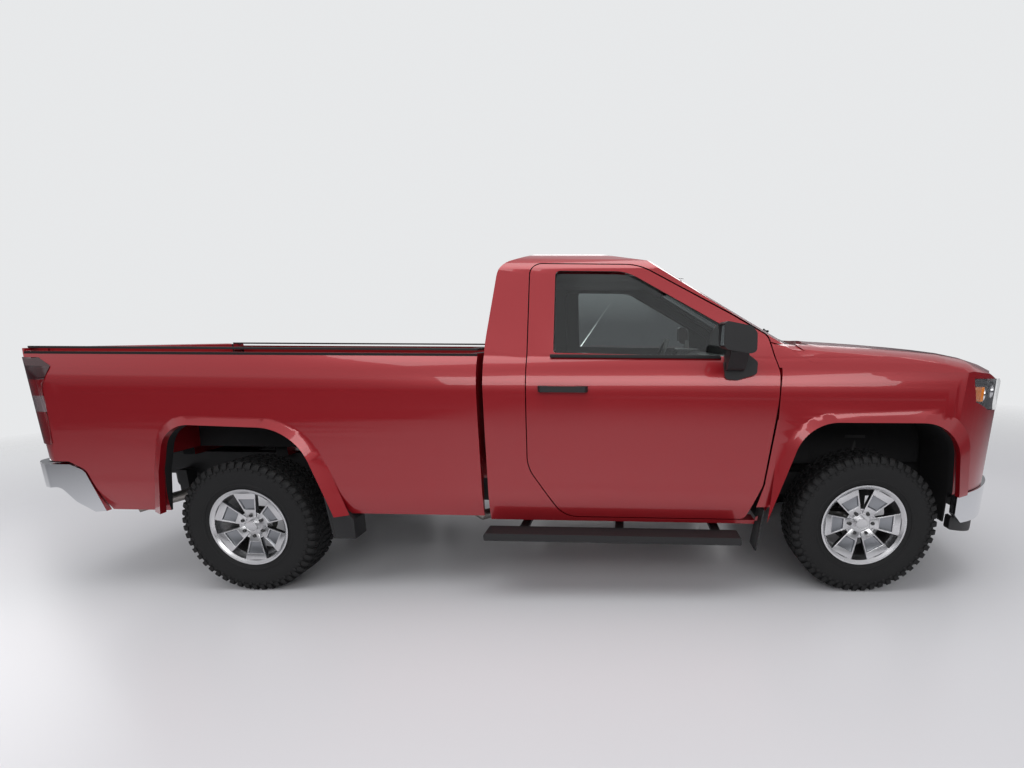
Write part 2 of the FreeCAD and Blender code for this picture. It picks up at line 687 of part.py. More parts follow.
def build_door():
    slab = cab_prism(0, 0, CAB_REAR_X, FRONT_AXLE_X - 300)
    slab = slab.common(box(CAB_REAR_X, FRONT_AXLE_X, 0, WIDE, 300, 2000))
    slab = slab.cut(door_core(0))
    door = slab.common(side_prism(door_outline(), 0, WIDE))
    door = door.cut(windshield_slab(2, 1500))
    door = door.cut(side_prism(window_outline(), 0, WIDE))
    door = door.cut(plan_prism([(HINGE_X - 10, DOOR_INNER_Y - 30), (HINGE_X - 10, DOOR_INNER_Y),
                                (DOOR_FRONT_X + 14, HINGE_Y - 45), (DOOR_FRONT_X + 14, DOOR_INNER_Y - 30)],
                               300, 1400))
    for z in HINGE_HEIGHTS:
        slot = HINGE_ARM_RISE + SHUT_GAP
        door = door.cut(box(HINGE_X - 14, DOOR_FRONT_X + 20, DOOR_INNER_Y - 50, HINGE_Y + 9,
                            z - slot, z + slot))
        door = door.cut(rod((HINGE_X, HINGE_Y, z - 2 * HINGE_ARM_RISE - 1), (HINGE_X, HINGE_Y,
                            z + 2 * HINGE_ARM_RISE + 1), HINGE_PIN_R + RUN_FIT))
    return door


def build_door_glass():
    skin = 20.0
    sheet = cab_prism(skin, skin, CAB_REAR_X, FRONT_AXLE_X - 300)
    sheet = sheet.cut(cab_prism(skin + GLASS_T, skin + GLASS_T, CAB_REAR_X, FRONT_AXLE_X - 300))
    return sheet.common(side_prism(window_outline(SEAT_FIT), 0, WIDE))


def build_door_trim():
    """Left door mirror on its foot, and the pull handle, seated on the door skin."""
    x = DOOR_FRONT_X
    b = BODY_HALF
    head = side_prism([(x - 346, 1400, 30), (x - 350, 1518, 20), (x - 338, 1530, 20), (x - 222, 1508, 30),
                       (x - 194, 1478, 30), (x - 190, 1392, 30), (x - 215, 1380, 20)], b + 60, b + 240)
    head = head.cut(side_prism([(x - 352, 1412), (x - 352, 1516), (x - 336, 1514), (x - 336, 1410)], b + 74,
                               b + 228))
    foot = cross_prism([(b - 96, 1262), (b - 96, 1362), (b - 11, 1372, 30), (b + 79, 1440), (b + 134, 1440),
                        (b + 134, 1386), (b + 44, 1292, 40)], x - 292, x - 200)
    base = side_prism([(x - 290, 1240, 20), (x - 300, 1330, 20), (x - 180, 1372, 20), (x - 126, 1332, 20),
                       (x - 126, 1268, 20), (x - 225, 1236, 20)], b - 96, b)
    rear = DOOR_REAR_X + 67
    grip = plan_prism([(rear, BODY_HALF - 10), (rear, BODY_HALF + 2), (rear + 14, BODY_HALF + 38, 14),
                       (rear + 262, BODY_HALF + 38, 14), (rear + 272, BODY_HALF - 10), (rear + 215,
                                                                                        BODY_HALF - 10),
                       (rear + 200, BODY_HALF + 20, 12), (rear + 60, BODY_HALF + 20, 12), (rear + 45,
                                                                                           BODY_HALF - 10)],
                      1168, 1199)
    door_skin = side_solid(-SEAT_FIT, CAB_REAR_X, FRONT_AXLE_X, DRIP_Z)
    mirror = fuse([head, foot, base]).cut(door_skin)
    return [mirror, grip.cut(door_skin)]


def build_rear_window():
    x = CAB_REAR_X + 22
    slope = 66.0 / (1838.0 - 1400.0)
    rise = 330.0
    pane = side_prism([(x, 1435), (x + GLASS_T, 1435), (x + GLASS_T + slope * rise, 1435 + rise),
                       (x + slope * rise, 1435 + rise)], -WIDE, WIDE)
    return pane.common(cross_prism(rear_opening(SEAT_FIT), CAB_REAR_X, CAB_REAR_X + 200))


# Front sheet metal


def hood_space(grow):
    """Room that the hood and the gap round it take from the pieces below."""
    return plan_prism(hood_plan(grow), 900, 1600).cut(hood_underside(grow))


def build_hood():
    hood = top_solid(0, 900).common(hood_space(0))
    ears = []
    for side in (1, -1):
        y0, y1 = sorted((side * (HOOD_EAR_Y + 15), side * (HOOD_EAR_Y + 27)))
        ear = side_prism([(HOOD_PIVOT_X - 8, HOOD_PIVOT_Z - 12), (HOOD_PIVOT_X - 8, HOOD_PIVOT_Z + 14),
                          (HOOD_PIVOT_X + 40, HOOD_PIVOT_Z + 14), (HOOD_PIVOT_X + 30,
                                                                   HOOD_PIVOT_Z - 12)], y0, y1)
        ears.append(ear.cut(rod((HOOD_PIVOT_X, y0 - 1, HOOD_PIVOT_Z), (HOOD_PIVOT_X, y1 + 1, HOOD_PIVOT_Z),
                                HOOD_PIN_R + RUN_FIT)))
    return fuse([hood] + ears)


def fender_core(grow):
    """Space inside the left and right fenders, bounded by their inner faces."""
    wide = BODY_HALF - FENDER_T - grow
    section = even([(wide - 56, 200), (wide - 56, ROCKER_Z + 20), (wide - 20, 600), (wide, 900), (wide, 1130),
                    (wide - 26, 1285), (wide - 70, 1345), (wide - 120, 1500)])
    core = cross_prism(section, DOOR_FRONT_X - 260, NOSE_X)
    core = core.common(under_top(grow, 200))
    return core.common(nose_core(FENDER_T + grow, DOOR_FRONT_X - 260, 200, 1500))


def build_fender():
    x0 = FENDER_REAR_X
    outer = side_solid(0, x0, NOSE_X, 1500).common(nose_prism(0, x0, 300, 1600))
    outer = outer.common(top_solid(0, 200))
    outer = outer.common(box(x0, NOSE_X, BODY_SIDE_JOIN - 80, WIDE, 300, 1600))
    fender = outer.cut(fender_core(0))
    fender = fender.fuse(flare(front_arch, 30).common(box(x0, NOSE_X, BODY_HALF - 96, WIDE, ROCKER_Z + 8,
                                                          1200)))
    fender = fender.cut(side_prism(front_arch(), 600, WIDE))
    fender = fender.cut(side_prism(door_outline(SHUT_GAP), 600, WIDE))
    fender = fender.cut(rod((HINGE_X, HINGE_Y, 300), (HINGE_X, HINGE_Y, 1300), FENDER_RELIEF_R))
    fender = fender.cut(plan_prism(hood_plan(SHUT_GAP), 900, 1600))
    fender = fender.cut(box(x0 - 10, FRONT_AXLE_X - 335, 0, BODY_SIDE_JOIN + SHUT_GAP, 300, 1600))
    fender = fender.cut(box(x0 - 10, FIREWALL_X + FIREWALL_T + SHUT_GAP, 0, DOOR_INNER_Y, 300, 1300))
    fender = fender.cut(box(x0 - 10, NOSE_X, 0, WIDE, 300, ROCKER_Z + 8))
    fender = fender.cut(box(x0 - 10, FIREWALL_X + FIREWALL_T + SHUT_GAP, 0, WIDE, 300, DOOR_BOTTOM_Z))
    fender = fender.cut(side_prism([(FRONT_AXLE_X + 300, 300), (FRONT_AXLE_X + 300, FENDER_BOTTOM_Z),
                                    (NOSE_X + 50, FENDER_BOTTOM_Z + 30), (NOSE_X + 50, 300)], 0, WIDE))
    fender = fender.cut(headlamp_block(SEAT_FIT))
    fender = fender.cut(windshield_slab(0, 60, -20, 1000))
    fender = fender.cut(box(FRONT_AXLE_X + 424, NOSE_X, 0, GRILLE_HALF + SHUT_GAP + 4, 600, 1300))
    return max(fender.Solids, key=lambda s: s.Volume)


def headlamp_block(grow):
    """Region of the left headlamp in the nose, from its front and side outlines."""
    low = GRILLE_HALF + 8 - grow
    high = BODY_HALF - 11
    f = FRONT_AXLE_X
    block = cross_prism([(low, 1130 - grow), (low, 1225 + grow), (high, 1252 + grow), (high, 1160 - grow),
                         (high - 125, 1075 - grow, 40), (low + 140, 1060 - grow, 30)], f + 425, NOSE_X + 20)
    return block.common(side_prism([(f + 478 - grow, 1300), (f + 524 - grow, 1165), (f + 574 - grow, 1000),
                                    (NOSE_X + 20, 1000), (NOSE_X + 20, 1300)], 0, WIDE))


def build_headlamp():
    body = nose_prism(4, FRONT_AXLE_X + 325, 900, 1300)
    body = body.common(headlamp_block(0)).common(top_solid(3, 800))
    body = body.cut(nose_core(120, FRONT_AXLE_X + 25, 800, 1400))
    return body.cut(hood_space(SHUT_GAP))


def build_grille():
    """Upper grille: frame with a bright bar, five openings and upright ribs behind them."""
    depth = nose_prism(10, FRONT_AXLE_X + 325, 690, 1222).cut(nose_core(GRILLE_DEPTH, FRONT_AXLE_X + 225,
                                                                        600, 1300))
    frame = depth.common(box(FRONT_AXLE_X + 425, NOSE_X, -GRILLE_HALF, GRILLE_HALF, 660, 1222))
    for z0, z1 in ((1135, 1195), (1060, 1115), (985, 1040), (860, 965), (730, 835)):
        frame = frame.cut(box(FRONT_AXLE_X + 425, NOSE_X, 32 - GRILLE_HALF, GRILLE_HALF - 32, z0, z1))
    web = nose_core(38, FRONT_AXLE_X + 325, 715, 1205).cut(nose_core(62, FRONT_AXLE_X + 225, 600, 1300))
    ribs = [web.common(box(FRONT_AXLE_X + 425, NOSE_X, y - 6, y + 6, 715, 1205)) for y in range(-440, 441,
                                                                                                88)]
    grille = fuse([frame] + ribs)
    return grille.cut(hood_space(SHUT_GAP))


# Bed


def tail_prism(inset):
    """Plan outline of the bed with its rounded tail corners."""
    x = TAIL_FACE_X + inset
    half = BODY_HALF + 6 - inset
    return plan_prism(even_plan([(BED_FRONT_X + 100, half), (x + 600, half), (x, half - 14, 205)]), 300, 1500)


def bumper_zone(grow):
    """Side-view outline of the rear bumper's wraparound ends."""
    x = TAIL_X
    return side_prism([(x - 10, 735 + grow), (x + 340 + grow, 735 + grow), (x + 428 + grow, 695, 60),
                       (x + 508 + grow, 440), (x - 10, 300)], -WIDE, WIDE)


def build_bedside():
    outer = side_solid(0, TAIL_FACE_X - 20, BED_FRONT_X, RAIL_Z).common(tail_prism(0))
    outer = outer.common(box(TAIL_FACE_X - 20, BED_FRONT_X, TAILGATE_HALF + SHUT_GAP + 10, WIDE, 300, 1500))
    core = box(TAIL_FACE_X + 62, BED_FRONT_X + 100, 0, BED_INNER_HALF + BED_WALL_T + SEAT_FIT, 300, 1500)
    side = outer.cut(core)
    side = side.fuse(flare(rear_arch, 32).common(box(TAIL_FACE_X, BED_FRONT_X, BODY_HALF - 96, WIDE,
                                                     BED_BOTTOM_Z, 1200)))
    side = side.cut(box(TAIL_FACE_X - 30, BED_FRONT_X + 30, 0, WIDE, 300, BED_BOTTOM_Z))
    side = side.cut(side_prism(rear_arch(), 600, WIDE))
    side = side.cut(tail_lamp_block(SEAT_FIT))
    side = side.cut(bumper_zone(8))
    return max(side.Solids, key=lambda s: s.Volume)


def tail_lamp_block(grow):
    return side_prism([(TAIL_FACE_X - 40, 842 - grow), (TAIL_FACE_X - 40, 1330 + grow),
                       (TAIL_FACE_X + 160, 1330 + grow, 14), (TAIL_FACE_X + 245 + grow, 1285, 12),
                       (TAIL_FACE_X + 190 + grow, 1165, 30), (TAIL_FACE_X + 165 + grow, 842 - grow, 20)],
                      TAILGATE_HALF + SHUT_GAP + 12 - grow, WIDE)


def build_tail_lamp():
    body = side_solid(-4, TAIL_FACE_X - 20, BED_FRONT_X, RAIL_Z).common(tail_prism(-5))
    body = body.common(tail_lamp_block(0))
    depth = BODY_HALF - BED_INNER_HALF - BED_WALL_T - 9
    inner = plan_prism([(TAIL_FACE_X + depth, 0), (TAIL_FACE_X + depth, BODY_HALF - depth - 18),
                        (TAIL_FACE_X + depth + 18, BODY_HALF - depth), (BED_FRONT_X, BODY_HALF - depth),
                        (BED_FRONT_X, 0)], 300, 1500)
    return body.cut(inner)


def build_bed_box():
    """Bed tub with wheelhouses, ribbed floor and the sills that stand on the frame."""
    x0 = TAIL_FACE_X + TAILGATE_T + 8
    x1 = BED_FRONT_X
    half = BED_INNER_HALF + BED_WALL_T
    under = BED_FLOOR_Z - BED_FLOOR_T
    tub = box(x0, x1, -half, half, under, RAIL_Z - CAP_H - 2)
    tub = tub.cut(box(x0 - 10, x1 - 45, -BED_INNER_HALF, BED_INNER_HALF, BED_FLOOR_Z, RAIL_Z + 10))
    x = REAR_AXLE_X
    for side in (1, -1):
        y0, y1 = sorted((side * HOUSE_HALF, side * half))
        house = side_prism([(x - 470, under), (x - 440, HOUSE_TOP_Z, 200), (x + 440, HOUSE_TOP_Z, 200),
                            (x + 470, under)], y0, y1)
        y0, y1 = sorted((side * (HOUSE_HALF + 18), side * (half + 20)))
        hollow = side_prism([(x - 454, under - 10), (x - 424, HOUSE_TOP_Z - 15, 190),
                             (x + 424, HOUSE_TOP_Z - 15, 190), (x + 454, under - 10)], y0, y1)
        tub = tub.fuse(house).cut(hollow)
    for i in range(9):
        y = (i - 4) * 135.0
        tub = tub.cut(box(x0 + 60, x1 - 120, y - 30, y + 30, BED_FLOOR_Z - 9, BED_FLOOR_Z + 5))
    sills = []
    for x in (x0 + 90, REAR_AXLE_X - 620, REAR_AXLE_X, REAR_AXLE_X + 520):
        sills.append(box(x - 40, x + 40, -RAIL_OUT_Y - 90, RAIL_OUT_Y + 90, RAIL_REAR_Z + RAIL_H + SEAT_FIT,
                         under))
    front_top = RAIL_MID_Z + RAIL_H + SEAT_FIT
    for side in (1, -1):
        y0, y1 = sorted((side * RAIL_IN_Y, side * RAIL_OUT_Y))
        sills.append(box(x1 - 140, x1 - 60, y0, y1, front_top, under))
    return fuse([tub] + sills)


def build_rail_caps():
    x0 = TAIL_FACE_X + 20
    x1 = BED_FRONT_X
    edge = BED_INNER_HALF + 11
    outer = plan_prism(even_plan([(x1, edge), (x0 + 300, edge), (x0, edge - 28, 60)]), RAIL_Z + SEAT_FIT,
                       RAIL_Z + CAP_H)
    cap = outer.cut(box(x0 - 10, x1 - 60, 60 - BED_INNER_HALF, BED_INNER_HALF - 60, RAIL_Z - 50, RAIL_Z + 50))
    gate = TAILGATE_HALF + 20
    return cap.cut(box(x0 - 10, TAIL_FACE_X + TAILGATE_T + 10, -gate, gate, RAIL_Z - 50, RAIL_Z + 50))


def build_tailgate():
    x0 = TAIL_FACE_X
    x1 = TAIL_FACE_X + TAILGATE_T
    low = BED_FLOOR_Z + 2
    outline = [(x0 + 14, low, 4), (x0, 900, 60), (x0 + 8, 1250, 200), (x0 - 2, RAIL_Z + 4, 12),
               (x1, RAIL_Z + 4, 6), (x1, low, 4)]
    gate = side_prism(outline, -TAILGATE_HALF, TAILGATE_HALF)
    gate = gate.cut(cross_prism(even([(130, 1290, 20), (130, 1210, 20)]), x0 - 20, x0 + 30))
    reach = TAILGATE_HALF + SHUT_GAP + 10 - SEAT_FIT
    pivot = x0 + TAILGATE_T / 2
    pin = rod((pivot, -reach, GATE_PIVOT_Z), (pivot, reach, GATE_PIVOT_Z), GATE_PIN_R)
    return fuse([gate, pin])


def build_tailgate_handle():
    x0 = TAIL_FACE_X + 8
    return cross_prism(even([(130 - SEAT_FIT, 1290 - SEAT_FIT, 19), (130 - SEAT_FIT, 1210 + SEAT_FIT, 19)]),
                       x0, TAIL_FACE_X + 30 - SEAT_FIT)


# Bumpers


def bumper_outline(drop):
    """Side view of the front bumper bar, with its lower edge let down by drop."""
    f = FRONT_AXLE_X
    return side_prism([(f + 508, 616), (NOSE_X + 20, 642), (NOSE_X + 20, 470 - drop), (f + 715, 440 - drop,
                                                                                       60),
                       (f + 565, 448 - drop, 20), (f + 512, 500 - drop, 20)], -WIDE, WIDE)


def build_front_bumper():
    """Chrome bumper bar in one sheet, with the brackets that bolt it to the frame ends."""
    f = FRONT_AXLE_X
    shell = nose_prism(-10, f + 425, 440, 645).cut(nose_core(26, f + 325, 400, 700))
    shell = shell.common(bumper_outline(0)).common(side_solid(-6, f + 325, NOSE_X + 20, 1500))
    shell = shell.cut(cross_prism(even([(520, 400), (480, 560, 40)]), f + 525, NOSE_X + 30))
    brackets = []
    for side in (1, -1):
        y0, y1 = sorted((side * RAIL_IN_Y, side * RAIL_OUT_Y))
        brackets.append(box(FRAME_FRONT_X + SEAT_FIT, NOSE_X - 52, y0, y1, 575, 610))
    return fuse([shell] + brackets)


def build_front_valance():
    f = FRONT_AXLE_X
    shell = nose_prism(20, f + 425, 330, 480).cut(nose_core(52, f + 325, 300, 600))
    outline = side_prism([(f + 518, 475), (NOSE_X, 475), (NOSE_X, 380), (NOSE_X - 180, 330, 30),
                          (f + 518, 400, 20)], -WIDE, WIDE)
    skirt = shell.common(outline).cut(bumper_outline(SEAT_FIT))
    return skirt.common(side_solid(0, f + 325, NOSE_X + 20, 1500).fuse(box(f + 325, NOSE_X, -925, 925, 300,
                                                                           430)))


def build_rear_bumper():
    """Chrome step bumper: bowed bar with wraparound ends and a flat top plate for the tow ball."""
    x = TAIL_X + 8
    b = BODY_HALF
    outer = plan_prism(even_plan([(x + 500, b - 11), (x + 190, b - 11, 60), (x + 60, b - 96, 120),
                                  (x, b - 436, 300)]), 440, 725)
    inner = plan_prism(even_plan([(x + 600, b - 46), (x + 200, b - 46, 50), (x + 95, b - 126, 100),
                                  (x + 40, b - 436, 280)]), 400, 712)
    shell = outer.cut(inner)
    band = side_prism([(x - 10, 730), (x + 330, 730, 30), (x + 420, 690, 60), (x + 500, 445), (x + 430, 440),
                       (x + 330, 500, 60), (x + 250, 590, 60), (x - 10, 560)], -WIDE, WIDE)
    band = band.cut(box(x + 150, x + 600, 66 - b, b - 66, 300, 800))
    shell = shell.common(fuse([band, box(x - 10, x + 120, -620, 620, 480, 730)]))
    shell = shell.cut(box(x - 20, x + 60, -170, 170, 590, 680))
    shell = shell.cut(box(x - 20, x + 60, -60, 60, 470, 580))
    return shell.cut(rod((x + BALL_HOLE_SET, 0, 600), (x + BALL_HOLE_SET, 0, 800), BALL_HOLE_R))


def build_step_pads():
    """Ribbed treads on the bumper's top, one each side of the tailgate."""
    x = TAIL_X + 8
    pads = []
    for y0, y1 in ((230, 560), (-560, -230)):
        pads.append(box(x + 22, x + 104, y0, y1, 725 + SEAT_FIT, 731))
    return pads


# Frame, axles and other pieces below


def rail_line(lift):
    """Lower edge of a frame rail from tail to nose, raised by lift."""
    r = REAR_AXLE_X
    f = FRONT_AXLE_X
    return [(FRAME_REAR_X, RAIL_REAR_Z + lift), (r + 600, RAIL_REAR_Z + lift, 200), (r + 860,
                                                                                     RAIL_MID_Z + lift, 200),
            (f - 640, RAIL_MID_Z + lift, 200), (f - 440, RAIL_FRONT_Z + lift, 200),
            (FRAME_FRONT_X, RAIL_FRONT_Z + lift)]


def build_frame():
    """Ladder frame: stepped rails, cross members, spring hangers, damper towers and hitch tube."""
    parts = []
    outline = rail_line(0) + list(reversed(rail_line(RAIL_H)))
    for side in (1, -1):
        y0, y1 = sorted((side * RAIL_IN_Y, side * RAIL_OUT_Y))
        parts.append(side_prism(outline, y0, y1))
        h0, h1 = sorted((side * (RAIL_OUT_Y - 1), side * (LEAF_Y + LEAF_HALF)))
        for x, top in ((REAR_AXLE_X - LEAF_REACH, RAIL_REAR_Z + 40), (REAR_AXLE_X + LEAF_REACH,
                                                                      RAIL_MID_Z + 140)):
            foot = body_z(x + 30, LEAF_TOP_Z) + SEAT_FIT
            parts.append(box(x - 30, x + 30, h0, h1, foot, top))
        t0, t1 = sorted((side * (RAIL_IN_Y + 8), side * RAIL_OUT_Y))
        parts.append(box(DAMPER_X - 60, DAMPER_X + 60, t0, t1, RAIL_FRONT_Z + RAIL_H - 1, 880))
        t0, t1 = sorted((side * (RAIL_IN_Y + 8), side * 575))
        parts.append(box(DAMPER_X - 60, DAMPER_X + 60, t0, t1, 862, 880))
        m0, m1 = sorted((side * 250, side * (RAIL_IN_Y + 3)))
        parts.append(box(ENGINE_X + 180, ENGINE_X + 280, m0, m1, RAIL_FRONT_Z + 20, ENGINE_Z - SEAT_FIT))
        for x in (40, FIREWALL_X - 260):
            parts.append(box(x - 45, x + 45, y0, y1, RAIL_MID_Z + RAIL_H - 1, FLOOR_Z - FLOOR_T - SEAT_FIT))
    inner = RAIL_IN_Y + 3
    rear_cross = ((FRAME_REAR_X + 60, RAIL_REAR_Z + 20), (SPARE_X, SPARE_CROSS_Z), (REAR_AXLE_X - 330,
                                                                                    SPARE_CROSS_Z))
    for x, z in rear_cross:
        parts.append(box(x - 45, x + 45, -inner, inner, z, z + 50))
    for x in (REAR_AXLE_X + 810, -130):
        parts.append(box(x - 45, x + 45, -inner, inner, RAIL_MID_Z + 90, RAIL_MID_Z + 140))
    drop = [(-inner, 400), (-inner, 440), (-300, 386), (300, 386), (inner, 440), (inner, 400), (310, 346),
            (-310, 346)]
    parts.append(cross_prism(drop, CASE_X + 30, CASE_X + 110))
    parts.append(box(CASE_X + 50, CASE_X + 90, -60, 60, 380, body_z(CASE_X + 50, CASE_Z0 - SEAT_FIT)))
    parts.append(box(FRONT_AXLE_X + 460, FRONT_AXLE_X + 520, -inner, inner, RAIL_FRONT_Z + 60,
                     RAIL_FRONT_Z + 120))
    parts.append(rod((SPARE_X, 0, SPARE_Z + SPARE_RIM_T + SEAT_FIT), (SPARE_X, 0, SPARE_CROSS_Z + 1), 10))
    tube = box(FRAME_REAR_X + 20, FRAME_REAR_X + 180, -35, 35, RAIL_REAR_Z - 50, RAIL_REAR_Z + 21)
    frame = fuse(parts + [tube])
    return frame.cut(box(FRAME_REAR_X + 10, FRAME_REAR_X + 160, -25.4, 25.4, RAIL_REAR_Z - 40,
                         RAIL_REAR_Z + 10.8))


def build_rear_axle():
    """Live axle with its differential housing, hub spindles and leaf springs, as it stands."""
    x = REAR_AXLE_X
    tube_end = WHEEL_Y - 75
    housing = Part.makeCylinder(140, 170, V(x - 90, 0, AXLE_Z), V(1, 0, 0))
    cover = Part.makeCone(95, 140, 45, V(x - 135, 0, AXLE_Z), V(1, 0, 0))
    nose = rod((x, 0, AXLE_Z + 18), (x + 260, 0, AXLE_Z + 18), 58)
    parts = [rod((x, -tube_end, AXLE_Z), (x, tube_end, AXLE_Z), 42), housing, cover, nose]
    for side in (1, -1):
        parts.append(rod((x, side * tube_end, AXLE_Z), (x, side * (WHEEL_Y - 4), AXLE_Z), 60))
        parts.append(rod((x, side * tube_end, AXLE_Z), (x, side * (WHEEL_Y + SPINDLE_END), AXLE_Z),
                         SPINDLE_R))
        y0, y1 = sorted((side * (LEAF_Y - LEAF_HALF), side * (LEAF_Y + LEAF_HALF)))
        sag = AXLE_Z - 60
        parts.append(side_prism([(x - LEAF_REACH - 30, LEAF_TOP_Z - LEAF_T), (x - LEAF_REACH - 30,
                                                                              LEAF_TOP_Z),
                                 (x - LEAF_REACH + 30, LEAF_TOP_Z), (x - 300, sag + 40, 300), (x, sag + 20,
                                                                                               600),
                                 (x + 300, sag + 40, 300), (x + LEAF_REACH - 30, LEAF_TOP_Z),
                                 (x + LEAF_REACH + 30, LEAF_TOP_Z), (x + LEAF_REACH + 30,
                                                                     LEAF_TOP_Z - LEAF_T),
                                 (x + 300, sag, 300), (x, sag - 28, 600), (x - 300, sag, 300)], y0, y1))
        parts.append(box(x - 70, x + 70, y0 - 8, y1 + 8, AXLE_Z - 95, AXLE_Z + 46))
    return fuse(parts)


def build_driveline():
    """Transfer case with the propeller shafts that run from it to both axles, as it stands."""
    x0 = CASE_X
    x1 = CASE_X + 320
    rear = (REAR_AXLE_X + 260.3, 0, AXLE_Z + 18)
    back = (x0 + 5, 0, 470)
    joint_rear = Part.makeCylinder(52, 30, V(*rear), V(1, 0, 0))
    front_end = (FRONT_AXLE_X - 130 - SEAT_FIT, -180, AXLE_Z + 40)
    return fuse([rod((rear[0] + 5, rear[1], rear[2]), back, 38), joint_rear, box(x0, x1, -150, 180, CASE_Z0,
                                                                                 CASE_Z1),
                 box(x1 - 60, x1, -230, -120, CASE_Z0 + 10, CASE_Z1 - 40),
                 rod((x1 - 5, -180, AXLE_Z + 40), front_end, 30)])


def build_engine():
    return box(ENGINE_X, ENGINE_X + 760, -290, 290, ENGINE_Z, 1240)


def arm_outline(x, inner_half, inner_y, ball_half, neck_y, ball_y):
    """Plan outline of a wishbone, wide at the frame and slim inside the wheel."""
    return [(x - inner_half, inner_y, 10), (x - ball_half, neck_y, 60), (x - ball_half, ball_y, 12),
            (x + ball_half, ball_y, 12), (x + ball_half, neck_y, 60), (x + inner_half, inner_y, 10)]


def build_front_suspension():
    """Front differential, half shafts, wishbones and dampers; the left side is drawn and mirrored."""
    x = FRONT_AXLE_X
    rail_foot = standing_z(x + 230, RAIL_FRONT_Z) - SEAT_FIT
    diff = box(x - 130, x + 120, -210, 210, AXLE_Z - 60, AXLE_Z + 80)
    low = plan_prism(arm_outline(x, 210, 380, 24, 640, KINGPIN_Y + 18), AXLE_Z - BALL_RISE - 40,
                     AXLE_Z - BALL_RISE - 12)
    low = low.cut(plan_prism([(x - 120, 480, 20), (x - 16, 610, 20), (x + 16, 610, 20), (x + 40, 480, 20)],
                             200, 300))
    root = RAIL_OUT_Y + SEAT_FIT
    high = plan_prism([(x - 165, root, 10), (x - 20, 650), (x - 20, KINGPIN_Y + 16, 12), (x + 20,
                                                                                          KINGPIN_Y + 16, 12),
                       (x + 60, 640), (x + 160, 590), (x + 170, root, 10)], AXLE_Z + BALL_RISE + 12,
                      AXLE_Z + BALL_RISE + 32)
    high = high.cut(plan_prism([(x - 130, 455), (x - 10, 620), (x + 45, 620), (x + 132, 582), (x + 145, 455)],
                               200, 700))
    shaft = rod((x, 200, AXLE_Z), (x, KINGPIN_Y - 46, AXLE_Z), 18)
    cap_under = standing_z(DAMPER_X + 60, 862) - SEAT_FIT
    damper = rod((DAMPER_X, 545, AXLE_Z - BALL_RISE - 20), (DAMPER_X, 522, cap_under - 40), 26)
    spring = rod((DAMPER_X, 536, AXLE_Z - BALL_RISE + 70), (DAMPER_X, 521, cap_under + 20), 50)
    spring = spring.common(box(x - 100, x + 300, 400, 700, 200, cap_under))
    bracket = box(x - 220, x + 220, RAIL_IN_Y, RAIL_OUT_Y, 230, rail_foot)
    carrier = box(x - 60, x + 60, 205, RAIL_IN_Y + 1, AXLE_Z - 90, AXLE_Z - 50)
    half = fuse([low, shaft, damper, spring, bracket, carrier])
    return [fuse([diff, half, mirrored(half)]), high, mirrored(high)]


def build_knuckle():
    """Left knuckle: upright between the arms' ball joints, spindle, steering arm and brake caliper."""
    x = FRONT_AXLE_X
    y = KINGPIN_Y
    low = AXLE_Z - BALL_RISE
    high = AXLE_Z + BALL_RISE
    upright = side_prism([(x - 28, low), (x - 60, AXLE_Z - 40), (x - 60, AXLE_Z + 40), (x - 26, high),
                          (x + 26, high),
                          (x + 60, AXLE_Z + 40), (x + 60, AXLE_Z - 40), (x + 28, low)], y - 22, y + 26)
    pins = rod((x, y, low - 12 + SEAT_FIT), (x, y, high + 12 - SEAT_FIT), KINGPIN_R)
    stub = facet_disc(46, y, WHEEL_Y - 3, 12)
    stub.translate(V(x, 0, AXLE_Z))
    spindle = rod((x, y, AXLE_Z), (x, WHEEL_Y + SPINDLE_END, AXLE_Z), SPINDLE_R)
    arm = side_prism([(x - 150, AXLE_Z - 60, 8), (x - 150, AXLE_Z - 30, 8), (x, AXLE_Z + 20), (x,
                                                                                               AXLE_Z - 40)],
                     y - 18, y + 4)
    caliper = side_prism([(x - CALIPER_REACH, AXLE_Z - 50), (x - CALIPER_REACH, AXLE_Z + 50),
                          (x - 40, AXLE_Z + 40), (x - 40, AXLE_Z - 40)], y + 5, WHEEL_Y - 2)
    return fuse([upright, pins, stub, spindle, arm, caliper])


def facet_disc(radius, y0, y1, sides):
    """Flat-sided round plate about the Y axis; its corners lie at the stated radius."""
    step = 2 * math.pi / sides
    corners = [(radius * math.sin(step * k), radius * math.cos(step * k)) for k in range(sides)]
    return side_prism(corners, y0, y1)


def turned_about_y(shape, degrees):
    turned = shape.copy()
    turned.rotate(V(0, 0, 0), V(0, 1, 0), degrees)
    return turned


def place_wheel(shape, side, x):
    """Moves a wheel piece, drawn with its outer face to +Y, to its corner."""
    moved = shape.copy()
    if side < 0:
        moved = moved.mirror(V(0, 0, 0), V(0, 1, 0))
    moved.translate(V(x, side * WHEEL_Y, AXLE_Z))
    return moved


def even_section(half):
    """Section (radius, across) of a turned form that is even about its middle."""
    return half + [(r, -across) for r, across in reversed(half)]


